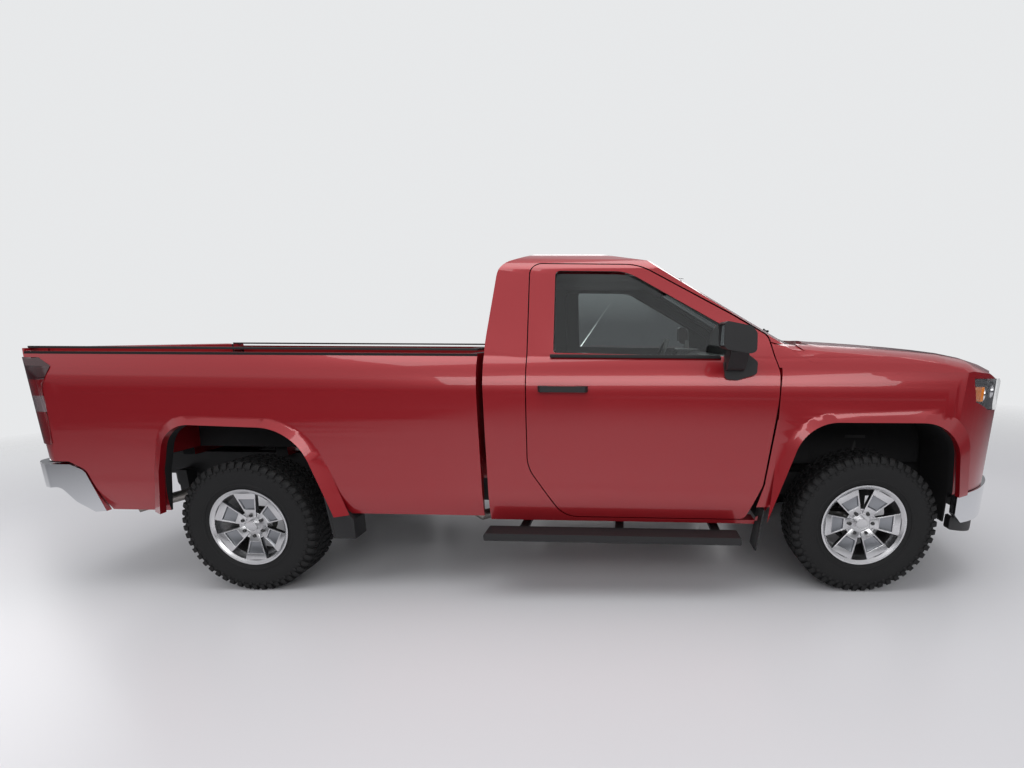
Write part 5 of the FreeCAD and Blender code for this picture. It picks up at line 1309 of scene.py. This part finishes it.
class Cabin:
    """Seats, dashboard fittings and door panels."""

    def __init__(self, seat: BenchSeat, dash: DashSizes, panel: DoorPanelSizes) -> None:
        self.seat = seat
        self.dash = dash
        self.panel = panel

    def pad(self, name: str, block: Piece, up: Vector, replaced: str) -> Piece:
        """Crowns a padded block between its seams and softens it.

        Args:
            name: the piece's name.
            block: the block, already scored where its seams run.
            up: direction of the face that the sitter touches.
            replaced: the CAD node that it stands for.

        Returns:
            The finished pad.
        """
        Bench.press(block, lambda centre, normal: normal.dot(up) > 0.8, 0.012, self.seat.crown, each=True)
        Bench.round_edges(block, 0.010, 2, 40.0)
        Bench.soften(block, 2)
        block.name = name
        Bench.rake(Bench.dress(block, CLOTH, 60.0))
        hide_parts(replaced)
        Bench.fit(block, "truck_body", "seat_cloth")
        return block

    def seats(self) -> None:
        """Models the cushion and the back of every place."""
        s = self.seat
        for i, (y0, y1) in enumerate(s.places):
            width = y1 - y0
            seams = [y0 + width * share for share in ((0.2, 0.8) if width > s.wide_place else (0.5,))]
            cushion = Bench.block("cushion", (s.rear + s.cushion_gap, y0, s.cushion_low),
                                  (s.front, y1, s.cushion_top))
            Bench.shift(cushion, lambda centre, normal: normal.x > 0.9, (0.0, 0.0, s.cushion_rise),
                        (1.0, 1.0, 0.86), (s.front, 0.0, s.cushion_low))
            for y in seams:
                Bench.slice(cushion, (0.0, y, 0.0), Axis.Y.value, keep=True)
            Bench.slice(cushion, (s.cushion_seam, 0.0, 0.0), Axis.X.value, keep=True)
            self.pad(f"seat_cushion_{i}", cushion, Axis.Z.value, "seat_cushion")
            back = Bench.block("back", (s.rear + s.back_reach[0], y0, s.back_low),
                               (s.rear + s.back_reach[1], y1, s.back_top))
            Bench.shift(back, lambda centre, normal: normal.z > 0.9, (-s.recline, 0.0, 0.0),
                        (0.86, 0.94, 1.0), (s.rear, (y0 + y1) / 2, s.back_top))
            for y in seams:
                Bench.slice(back, (0.0, y, 0.0), Axis.Y.value, keep=True)
            for z in s.back_seams:
                Bench.slice(back, (0.0, 0.0, z), Axis.Z.value, keep=True)
            self.pad(f"seat_back_{i}", back, Axis.X.value, "seat_back")

    def restraints(self) -> None:
        """Models the head restraints and the posts that they stand on."""
        s = self.seat
        for side in Side:
            y = side.value * s.rest_places
            rest = Bench.block("rest", *s.rest.moved(y))
            Bench.slice(rest, (0.0, y, 0.0), Axis.Y.value, keep=True)
            self.pad(f"head_restraint_{side.word}", rest, Axis.X.value, "seat_back")
            posts = []
            for step in (-s.post_gap, s.post_gap):
                foot, top = ((x, y + step, z) for x, z in (s.post_foot, s.post_top))
                posts.append(Bench.round_edges(Bench.rod("post", foot, top, s.post_radius, 12), 0.002))
            joined = Bench.rake(Bench.dress(Bench.join(f"restraint_posts_{side.word}", posts), CHROME))
            Bench.fit(joined, "truck_body", "chrome")

    def instruments(self) -> tuple[Piece, Piece]:
        """Makes the hood over the instruments and their dark face.

        Returns:
            The hood and the face.
        """
        d = self.dash
        hood = Bench.block("instrument_hood", d.hood.low, d.hood.high)
        Bench.shift(hood, lambda centre, normal: normal.z > 0.9, (0.03, 0.0, 0.0), (0.8, 0.86, 1.0),
                    d.hood_middle)
        Bench.press(hood, lambda centre, normal: normal.x < -0.7, 0.014, -0.035)
        Bench.round_edges(hood, 0.008, 3)
        face = Bench.block("instrument_face", d.face.low, d.face.high)
        Bench.press(face, lambda centre, normal: normal.x < -0.9, 0.006, -0.003)
        return hood, face

    def console(self) -> tuple[Piece, Piece]:
        """Makes the middle stack and the screen on it.

        Returns:
            The stack and the screen.
        """
        d = self.dash
        stack = Bench.block("centre_stack", d.stack.low, d.stack.high)
        Bench.shift(stack, lambda centre, normal: normal.z < -0.9, (-0.015, 0.0, 0.0), (1.0, 0.85, 1.0),
                    (1.0, 0.0, 1.0))
        Bench.round_edges(stack, 0.012, 3)
        screen = Bench.block("centre_screen", d.screen.low, d.screen.high)
        Bench.press(screen, lambda centre, normal: normal.x < -0.9, 0.007, -0.002)
        Bench.round_edges(screen, 0.003, 2)
        return stack, screen

    def vents(self) -> Piece:
        """Makes the four slatted air vents.

        Returns:
            The vents as one piece.
        """
        made = []
        for y in self.dash.vent_places:
            vent = Bench.block("vent", *self.dash.vent.moved(y))
            for z in self.dash.vent_slats:
                Bench.slice(vent, (0.0, 0.0, z), Axis.Z.value, keep=True)
            Bench.press(vent, lambda centre, normal: normal.x < -0.9, 0.003, -0.012, each=True)
            made.append(Bench.round_edges(vent, 0.001))
        return Bench.join("vents", made)

    def knobs(self) -> Piece:
        """Makes the three climate knobs.

        Returns:
            The knobs as one piece.
        """
        made = []
        for y in self.dash.knob_places:
            ends = [(x, y, self.dash.knob_height) for x in self.dash.knob_reach]
            knob = Bench.rod("knob", *ends, self.dash.knob_radius, 24)
            Bench.press(knob, lambda centre, normal: normal.x < -0.9, 0.003, -0.003)
            made.append(Bench.round_edges(knob, 0.002))
        return Bench.join("knobs", made)

    def dash_fittings(self) -> None:
        """Adds the instruments, the middle stack, the column, the vents and the knobs to the dashboard."""
        hood, face = self.instruments()
        stack, screen = self.console()
        column = Bench.rod("steering_column", *self.dash.column_ends, self.dash.column_radius, 24)
        Bench.round_edges(column, 0.01, 3)
        vents = self.vents()
        knobs = self.knobs()
        for name, made, finish in (("instrument_hood", hood, TRIM), ("instrument_face", face, SCREEN),
                                   ("centre_stack", stack, GLOSS_BLACK), ("centre_screen", screen, SCREEN),
                                   ("steering_column", column, TRIM), ("air_vents", vents, BLACK_PLASTIC),
                                   ("climate_knobs", knobs, CHROME)):
            made.name = name
            Bench.fit(Bench.rake(Bench.dress(made, finish)), "truck_body", "grey_trim")

    def door_panels(self) -> None:
        """Adds an armrest, a pull and a map pocket inside each door."""
        for side in Side:
            low, high = self.panel.rest.on(side)
            rest = Bench.block("rest", low, high)
            Bench.shift(rest, lambda centre, normal: normal.x > 0.9, (0.0, side.value * 0.02, 0.02),
                        (1.0, 0.6, 0.8), (high[0], side.value * self.panel.rest.high[1], 1.0))
            Bench.press(rest, lambda centre, normal: normal.z > 0.9, 0.014, -0.010)
            Bench.round_edges(rest, 0.008, 3)
            pocket = Bench.block("pocket", *self.panel.pocket.on(side))
            Bench.press(pocket, lambda centre, normal: normal.z > 0.9, 0.010, -0.05)
            Bench.round_edges(pocket, 0.006, 2)
            joined = Bench.join(f"door_armrest_{side.word}", [rest, pocket])
            Bench.fit(Bench.rake(Bench.dress(joined, TRIM)), f"door_{side.word}", "grey_trim")

    def build(self) -> None:
        """Furnishes the cabin."""
        self.seats()
        self.restraints()
        self.dash_fittings()
        self.door_panels()


@dataclass(frozen=True)
class EdgeStrip:
    """One stretch of the strip behind the door: its heights, its rear end and how it leans."""

    foot: float
    top: float
    start: float
    lean: float


@dataclass(frozen=True)
class TrimPlaces:
    """Places of the small outside fittings, in metres.

    A cut is a point on its plane and the direction in which the piece is cut away.
    """

    belt_length: tuple[float, float] = (0.235, 1.160)
    belt_height: tuple[float, float] = (1.344, 1.362)
    belt_depth: tuple[float, float] = (0.012, 0.006)
    belt_sight: tuple[float, float] = (0.70, 1.325)
    belt_cut: tuple[Point, Point] = ((1.150, 0.0, 1.344), (1.0, 0.0, 0.5))
    guard: Box = Box((-1.087, 0.845, 0.300), (-0.924, 0.985, 0.553))
    guard_cuts: tuple[tuple[Point, Point], ...] = (((-1.035, 0.0, 0.541), (0.12, 0.0, 0.108)),
                                                   ((-1.057, 0.0, 0.300), (-0.25, 0.0, -0.03)))
    flap: Box = Box((1.425, 0.845, 0.275), (1.433, 0.985, 0.520))
    flap_sweep: float = 0.03
    shield: Box = Box((1.600, 0.567, 0.665), (2.440, 0.574, 1.040))
    shield_scores: tuple[float, ...] = (1.80, 2.16)
    lower_shield: Box = Box((2.260, 0.482, 0.530), (2.615, 0.488, 0.720))
    vented: Box = Box((2.660, 0.562, 0.646), (2.880, 0.699, 1.126))
    plain: Box = Box((2.660, 0.701, 0.646), (2.880, 0.765, 1.056))
    vent_scores: tuple[float, ...] = (0.700, 0.770, 0.840, 0.910, 0.980)
    nose: tuple[float, float] = (2.834, 0.556)
    nose_lean: tuple[float, float] = (0.875, 0.483)
    vent_corner: tuple[float, float] = (0.700, 1.056)
    vent_lean: tuple[float, float] = (0.5, 1.0)
    notch: Box = Box((1.440, -1.0, 1.292), (1.740, 1.0, 1.430))
    notch_cuts: tuple[tuple[Point, Point], ...] = (((1.541, 0.0, 1.355), (-0.63, 0.0, -1.0)),
                                                   ((1.609, 0.0, 1.355), (0.63, 0.0, 1.0)))
    notch_move: Point = (-0.080, 0.0, 0.0022)
    notch_scale: Point = (1.0, 1.0006, 1.0)
    notch_middle: Point = (1.55, 0.0, 1.35)
    edge: Box = Box((1.340, 0.940, 0.505), (1.469, 1.010, 1.000))
    edge_bend: float = 0.649
    edge_strips: tuple[EdgeStrip, ...] = (EdgeStrip(0.649, 1.000, 1.419, 0.123),
                                          EdgeStrip(0.505, 0.649, 1.4215, 0.300))
    edge_skin: tuple[float, float] = (0.9890, 0.9943)
    edge_slope: float = 0.045
    mirror: Box = Box((1.1150, 1.073, 1.4155), (1.1195, 1.221, 1.5105))
    stop_lamp_height: float = 1.802
    stop_lamp_half: Point = (0.0, 0.21, 0.014)
    stop_lamp_depth: tuple[float, float] = (0.007, 0.02)
    stop_lamp_band: float = 0.08
    fuel_door: Box = Box((-0.700, 0.90, 1.110), (-0.540, 1.10, 1.270))
    fuel_door_corner: float = 0.024
    fuel_door_seam: float = 0.0035
    wipers: tuple[float, ...] = (-0.10, 0.52)
    wiper_length: float = 0.42


class Trim:
    """Small outside fittings: belt mouldings, guards, fascias, wipers, fuel door and stop lamp."""

    def __init__(self, places: TrimPlaces) -> None:
        self.places = places

    def belt(self) -> None:
        """Runs a black moulding under each side window."""
        p = self.places
        x, z = p.belt_sight
        for side in Side:
            door = bpy.data.objects[f"door_{side.word}_panel"]
            skin = abs(Bench.touch(door, (x, side.value * 2.0, z), (0.0, -side.value, 0.0)).y)
            place = Box((p.belt_length[0], skin - p.belt_depth[0], p.belt_height[0]),
                        (p.belt_length[1], skin + p.belt_depth[1], p.belt_height[1]))
            strip = Bench.block("strip", *place.on(side))
            Bench.slice(strip, *p.belt_cut)
            Bench.round_edges(strip, 0.0025, 2)
            strip.name = f"belt_moulding_{side.word}"
            Bench.fit(Bench.rake(Bench.dress(strip, SEAL)), f"door_{side.word}", "black_plastic")

    def guards(self) -> None:
        """Hangs the short black guards ahead of the rear wheels and behind the front ones."""
        for side in Side:
            rear = Bench.block("guard", *self.places.guard.on(side))
            for cut in self.places.guard_cuts:
                Bench.slice(rear, *cut)
            Bench.press(rear, lambda centre, normal: abs(normal.y) > 0.9, 0.012, -0.004)
            Bench.round_edges(rear, 0.004, 2)
            front = Bench.block("flap", *self.places.flap.on(side))
            Bench.shift(front, lambda centre, normal: normal.z < -0.9, (-self.places.flap_sweep, 0.0, 0.0))
            Bench.press(front, lambda centre, normal: abs(normal.x) > 0.9, 0.012, -0.001)
            Bench.round_edges(front, 0.002, 2)
            joined = Bench.join(f"mud_guards_{side.word}", [rear, front])
            Bench.fit(Bench.rake(Bench.dress(joined, BLACK_PLASTIC)), "truck_body", "black_plastic")

    def shields(self) -> None:
        """Closes the front wheel wells inboard, above the reach of the steered wheels."""
        for side in Side:
            shield = Bench.block("shield", *self.places.shield.on(side))
            for x in self.places.shield_scores:
                Bench.slice(shield, (x, 0.0, 0.0), Axis.X.value, keep=True)
            Bench.press(shield, lambda centre, normal: abs(normal.y) > 0.9, 0.020, -0.002, each=True)
            Bench.round_edges(shield, 0.001)
            lower = Bench.block("lower", *self.places.lower_shield.on(side))
            Bench.press(lower, lambda centre, normal: abs(normal.y) > 0.9, 0.020, -0.0015)
            Bench.round_edges(lower, 0.001)
            shield = Bench.join(f"splash_shield_{side.word}", [shield, lower])
            Bench.fit(Bench.dress(shield, LINER), "truck_body", "liner_plastic")

    def fascias(self) -> None:
        """Closes the nose beside the grille with a vented panel under each head lamp."""
        p = self.places
        foot, top = p.vent_scores[0], p.vent_scores[-1]
        for side in Side:
            vented = Bench.block("vent", *p.vented.on(side))
            plain = Bench.block("plain", *p.plain.on(side))
            for part in (vented, plain):
                Bench.slice(part, (p.nose[0], side.value * p.nose[1], 0.0),
                            (p.nose_lean[0], side.value * p.nose_lean[1], 0.0))
            Bench.slice(vented, (0.0, side.value * p.vent_corner[0], p.vent_corner[1]),
                        (0.0, side.value * p.vent_lean[0], p.vent_lean[1]))
            for z in p.vent_scores:
                Bench.slice(vented, (0.0, 0.0, z), Axis.Z.value, keep=True)
            Bench.press(vented, lambda centre, normal: normal.x > 0.5 and foot < centre.z < top, 0.009,
                        -0.018, each=True)
            made = [Bench.round_edges(part, 0.002, 2) for part in (vented, plain)]
            joined = Bench.join(f"nose_fascia_{side.word}", made)
            Bench.fit(Bench.rake(Bench.dress(joined, BLACK_PLASTIC)), "truck_body", "black_plastic")

    def corners(self) -> None:
        """Closes the fenders' notch at the foot of each windshield pillar."""
        p = self.places
        patch = Bench.free(Bench.copy(bpy.data.objects["fenders_panel"], "cowl_corners"))
        with Bench.opened(patch):
            bpy.ops.transform.translate(value=p.notch_move)
            bpy.ops.transform.resize(value=p.notch_scale, center_override=p.notch_middle)
        cutter = Bench.block("cutter", p.notch.low, p.notch.high)
        for cut in p.notch_cuts:
            Bench.slice(cutter, *cut)
        Bench.carve(patch, cutter, "INTERSECT")
        Bench.fit(Bench.dress(patch, RED_PAINT), "truck_body", "red_paint")

    def edges(self) -> None:
        """Narrows the gap between each fender and its door with a strip in the fender's colour."""
        p = self.places
        inner, outer = p.edge_skin
        for side in Side:
            low, high = p.edge.on(side)
            made = []
            for part in p.edge_strips:
                strip = Bench.block("strip", (low[0], low[1], part.foot), (high[0], high[1], part.top))
                Bench.slice(strip, (part.start, 0.0, p.edge_bend), (-1.0, 0.0, part.lean))
                Bench.slice(strip, (high[0], 0.0, 0.800), (1.0, 0.0, -0.050))
                Bench.slice(strip, (0.0, side.value * outer, 0.950), (0.0, side.value, -p.edge_slope))
                made.append(Bench.slice(strip, (0.0, side.value * inner, 0.950),
                                        (0.0, -side.value, p.edge_slope)))
            strip = Bench.dress(Bench.join(f"fender_edge_{side.word}", made), RED_PAINT)
            Bench.fit(strip, "truck_body", "red_paint")

    def mirrors(self) -> None:
        """Sets the glass in each door mirror."""
        for side in Side:
            pane = Bench.block("pane", *self.places.mirror.on(side))
            Bench.press(pane, lambda centre, normal: normal.x < -0.9, 0.003, 0.0008)
            pane.name = f"mirror_glass_{side.word}"
            Bench.fit(Bench.rake(Bench.dress(pane, MIRROR_GLASS)), f"door_{side.word}", "chrome")

    def stop_lamp(self) -> None:
        """Sets the high stop lamp in the top of the cab's back."""
        p = self.places
        cab = bpy.data.objects["cab_shell_panel"]
        z, band = p.stop_lamp_height, p.stop_lamp_band
        x = Bench.touch(cab, (-2.0, 0.0, z), (1.0, 0.0, 0.0)).x
        _, half_width, half_height = p.stop_lamp_half
        lamp = Bench.block("high_stop_lamp", (x - p.stop_lamp_depth[0], -half_width, z - half_height),
                           (x + p.stop_lamp_depth[1], half_width, z + half_height))
        for y in (-band, band):
            Bench.slice(lamp, (0.0, y, 0.0), Axis.Y.value, keep=True)
        Bench.press(lamp, lambda centre, normal: normal.x < -0.9, 0.003, -0.002, each=True)
        Bench.round_edges(lamp, 0.003, 2)
        Bench.dress(lamp, STOP_RED)
        Bench.paint(lamp, LAMP_CLEAR, lambda centre, normal: abs(centre.y) > band + 0.005 and normal.x < -0.5)
        Bench.fit(lamp, "truck_body", "tail_lens")

    def fuel_cutter(self, grow: float) -> Piece:
        """Makes the block with rounded corners that cuts the fuel door out of the bed side.

        Args:
            grow: how far it reaches past the door all round.

        Returns:
            The block.
        """
        low, high = self.places.fuel_door.low, self.places.fuel_door.high
        cutter = Bench.block("cutter", (low[0] - grow, low[1], low[2] - grow),
                             (high[0] + grow, high[1], high[2] + grow))
        Bench.take(cutter)
        bpy.ops.object.mode_set(mode="EDIT")
        bpy.ops.mesh.select_mode(type="EDGE")
        bpy.ops.mesh.select_all(action="DESELECT")
        bpy.ops.object.mode_set(mode="OBJECT")
        for edge in cutter.data.edges:
            ends = [cutter.data.vertices[i].co for i in edge.vertices]
            edge.select = abs(ends[0].y - ends[1].y) > 0.1
        bpy.ops.object.mode_set(mode="EDIT")
        bpy.ops.mesh.bevel(offset=self.places.fuel_door_corner, segments=6)
        bpy.ops.object.mode_set(mode="OBJECT")
        return cutter

    def fuel_door(self) -> None:
        """Sets the fuel filler's door, and the dark seam round it, in the left bed side."""
        skin = bpy.data.objects["bedsides_panel"]
        made = []
        for name, grow, lift, finish in (("seam", self.places.fuel_door_seam, 0.0006, SEAL),
                                         ("lid", 0.0, 0.0018, RED_PAINT)):
            plate = Bench.free(Bench.copy(skin, name))
            Bench.carve(plate, self.fuel_cutter(grow), "INTERSECT")
            with Bench.opened(plate):
                bpy.ops.transform.translate(value=(0.0, lift, 0.0))
            made.append(Bench.dress(plate, finish))
        Bench.fit(Bench.join("fuel_door", made), "truck_body", "red_paint")

    def wipers(self) -> None:
        """Lays two wipers along the foot of the windshield."""
        screen = bpy.data.objects["windshield_pane"]
        for i, y in enumerate(self.places.wipers):
            foot = Bench.touch(screen, (1.560, y, 2.5), (0.0, 0.0, -1.0))
            tip = Bench.touch(screen, (1.500, y - self.places.wiper_length, 2.5), (0.0, 0.0, -1.0))
            arm = Bench.rod("arm", foot + Vector((0.015, 0.0, 0.012)), tip + Vector((0.0, 0.1, 0.022)),
                            0.006, 10)
            Bench.round_edges(arm, 0.002)
            blade = Bench.rod("blade", foot + Vector((-0.02, 0.06, 0.010)),
                              tip + Vector((-0.02, -0.08, 0.010)), 0.007, 8)
            Bench.round_edges(blade, 0.002)
            cap = Bench.rod("cap", foot + Vector((0.015, 0.0, -0.02)), foot + Vector((0.015, 0.0, 0.024)),
                            0.016, 20)
            Bench.round_edges(cap, 0.004, 3)
            joined = Bench.join(f"wiper_{i}", [arm, blade, cap])
            Bench.fit(Bench.dress(joined, SEAL), "truck_body", "black_plastic")

    def build(self) -> None:
        """Adds every outside fitting."""
        self.belt()
        self.guards()
        self.stop_lamp()
        self.fuel_door()
        self.wipers()
        self.shields()
        self.fascias()
        self.corners()
        self.edges()
        self.mirrors()


@dataclass(frozen=True)
class Softbox:
    """A rectangular area light: where it hangs, its width and height in metres, its power in watts."""

    name: str
    place: Point
    width: float
    height: float
    power: float


@dataclass(frozen=True)
class StudioSizes:
    """Floor, lights, surround and camera. Lengths are in metres and angles in degrees.

    The room is the surround's shades, each with its height from the ground, at 0, to straight above.
    """

    target: Point = (0.0, 0.0, 0.8)
    floor_radius: float = 30.0
    floor_colour: Point = (0.66, 0.66, 0.68)
    floor_roughness: float = 0.30
    floor_specular: float = 0.35
    fade: tuple[float, float] = (5.0, 11.0)
    lights: tuple[Softbox, ...] = (
        Softbox("top_light", (0.5, -1.0, 6.0), 9.0, 4.0, 230.0),
        Softbox("side_light", (1.5, -9.0, 4.5), 10.0, 3.0, 250.0),
        Softbox("tail_light", (-9.0, 2.0, 3.5), 4.0, 3.0, 110.0),
        Softbox("far_light", (2.0, 8.0, 4.5), 8.0, 3.0, 120.0))
    room_strength: float = 0.62
    room: tuple[tuple[float, Point], ...] = (
        (0.02, (0.10, 0.10, 0.11)), (0.10, (0.34, 0.35, 0.37)), (0.28, (0.42, 0.42, 0.4326)),
        (0.34, (1.0, 1.0, 1.03)), (0.75, (0.85, 0.85, 0.8755)))
    backdrop: Point = (0.80, 0.81, 0.82)
    camera_place: Point = (0.6435, -3.957, 1.448)
    yaw: float = 2.70
    pitch: float = 14.71
    roll: float = -1.09
    sensor_mm: float = 36.0
    lens_mm: float = 19.336
    shift: tuple[float, float] = (-0.0859, 0.0947)


class Studio:
    """Floor, lights, background and camera."""

    def __init__(self, sizes: StudioSizes) -> None:
        self.sizes = sizes

    def floor(self) -> None:
        """Lays a pale floor that fades into the background."""
        Bench.clear()
        bpy.ops.mesh.primitive_circle_add(vertices=96, radius=self.sizes.floor_radius, fill_type="NGON",
                                          location=(0.0, 0.0, 0.0))
        floor = bpy.context.object
        floor.name = "studio_floor"
        made = bpy.data.materials.new("studio_floor")
        made.use_nodes = True
        nodes, links = made.node_tree.nodes, made.node_tree.links
        shader = nodes["Principled BSDF"]
        shader.inputs["Base Color"].default_value = (*self.sizes.floor_colour, 1.0)
        shader.inputs["Roughness"].default_value = self.sizes.floor_roughness
        shader.inputs["Specular IOR Level"].default_value = self.sizes.floor_specular
        place = nodes.new("ShaderNodeTexCoord")
        reach = nodes.new("ShaderNodeVectorMath")
        reach.operation = "LENGTH"
        fade = nodes.new("ShaderNodeMapRange")
        fade.inputs["From Min"].default_value, fade.inputs["From Max"].default_value = self.sizes.fade
        clear = nodes.new("ShaderNodeBsdfTransparent")
        mix = nodes.new("ShaderNodeMixShader")
        links.new(place.outputs["Object"], reach.inputs[0])
        links.new(reach.outputs["Value"], fade.inputs["Value"])
        links.new(fade.outputs["Result"], mix.inputs["Fac"])
        links.new(shader.outputs["BSDF"], mix.inputs[1])
        links.new(clear.outputs["BSDF"], mix.inputs[2])
        links.new(mix.outputs["Shader"], nodes["Material Output"].inputs["Surface"])
        floor.data.materials.append(made)

    def hang(self, light: Softbox) -> None:
        """Hangs one area light that faces the truck.

        Args:
            light: the light's place, size and power.
        """
        Bench.clear()
        turn = (Vector(self.sizes.target) - Vector(light.place)).to_track_quat("-Z", "Y").to_euler()
        bpy.ops.object.light_add(type="AREA", location=light.place, rotation=turn)
        lamp = bpy.context.object
        lamp.name = light.name
        lamp.data.shape = "RECTANGLE"
        lamp.data.size, lamp.data.size_y = light.width, light.height
        lamp.data.energy = light.power
        lamp.visible_camera = False

    def sky(self) -> None:
        """Sets a surround that darkens towards the ground, and an even pale backdrop for the camera."""
        world = bpy.data.worlds.new("studio")
        bpy.context.scene.world = world
        world.use_nodes = True
        nodes, links = world.node_tree.nodes, world.node_tree.links
        room = nodes["Background"]
        room.inputs["Strength"].default_value = self.sizes.room_strength
        place = nodes.new("ShaderNodeTexCoord")
        split = nodes.new("ShaderNodeSeparateXYZ")
        shades = nodes.new("ShaderNodeValToRGB")
        stops = shades.color_ramp.elements
        for i, (position, shade) in enumerate(self.sizes.room):
            stop = stops[i] if i < 2 else stops.new(position)
            stop.position = position
            stop.color = (*shade, 1.0)
        links.new(place.outputs["Generated"], split.inputs["Vector"])
        links.new(split.outputs["Z"], shades.inputs["Fac"])
        links.new(shades.outputs["Color"], room.inputs["Color"])
        seen = nodes.new("ShaderNodeBackground")
        seen.inputs["Color"].default_value = (*self.sizes.backdrop, 1.0)
        seen.inputs["Strength"].default_value = 1.0
        path = nodes.new("ShaderNodeLightPath")
        mix = nodes.new("ShaderNodeMixShader")
        links.new(path.outputs["Is Camera Ray"], mix.inputs["Fac"])
        links.new(room.outputs["Background"], mix.inputs[1])
        links.new(seen.outputs["Background"], mix.inputs[2])
        links.new(mix.outputs["Shader"], nodes["World Output"].inputs["Surface"])

    def camera(self) -> None:
        """Places the camera where the photograph's fitted camera stood."""
        s = self.sizes
        yaw, pitch, roll = (math.radians(angle) for angle in (s.yaw, s.pitch, s.roll))
        level_reach = math.cos(pitch)
        forward = Vector((-math.sin(yaw) * level_reach, math.cos(yaw) * level_reach, -math.sin(pitch)))
        right = Vector((math.cos(yaw), math.sin(yaw), 0.0))
        up = right.cross(forward)
        level = right * math.cos(roll) + up * math.sin(roll)
        top = up * math.cos(roll) - right * math.sin(roll)
        Bench.clear()
        bpy.ops.object.camera_add()
        camera = bpy.context.object
        columns = Matrix((level, top, -forward)).transposed().to_4x4()
        camera.matrix_world = Matrix.Translation(s.camera_place) @ columns
        camera.data.sensor_width = s.sensor_mm
        camera.data.lens = s.lens_mm
        camera.data.shift_x, camera.data.shift_y = s.shift
        bpy.context.scene.camera = camera

    def build(self) -> None:
        """Sets up the whole studio."""
        self.floor()
        for light in self.sizes.lights:
            self.hang(light)
        self.sky()
        self.camera()
        bpy.context.scene.view_settings.view_transform = "Standard"


def main() -> None:
    """Builds the truck's finished looks piece by piece."""
    for builder in (Bodywork(BodySizes()), Lamps(HeadLampSizes(), TailLampSizes()),
                    Wheel(TyreSizes(), RimSizes()), Cabin(BenchSeat(), DashSizes(), DoorPanelSizes()),
                    Trim(TrimPlaces()), Studio(StudioSizes())):
        LOG.info("building %s", type(builder).__name__)
        builder.build()


if __name__ == "__main__":
    main()
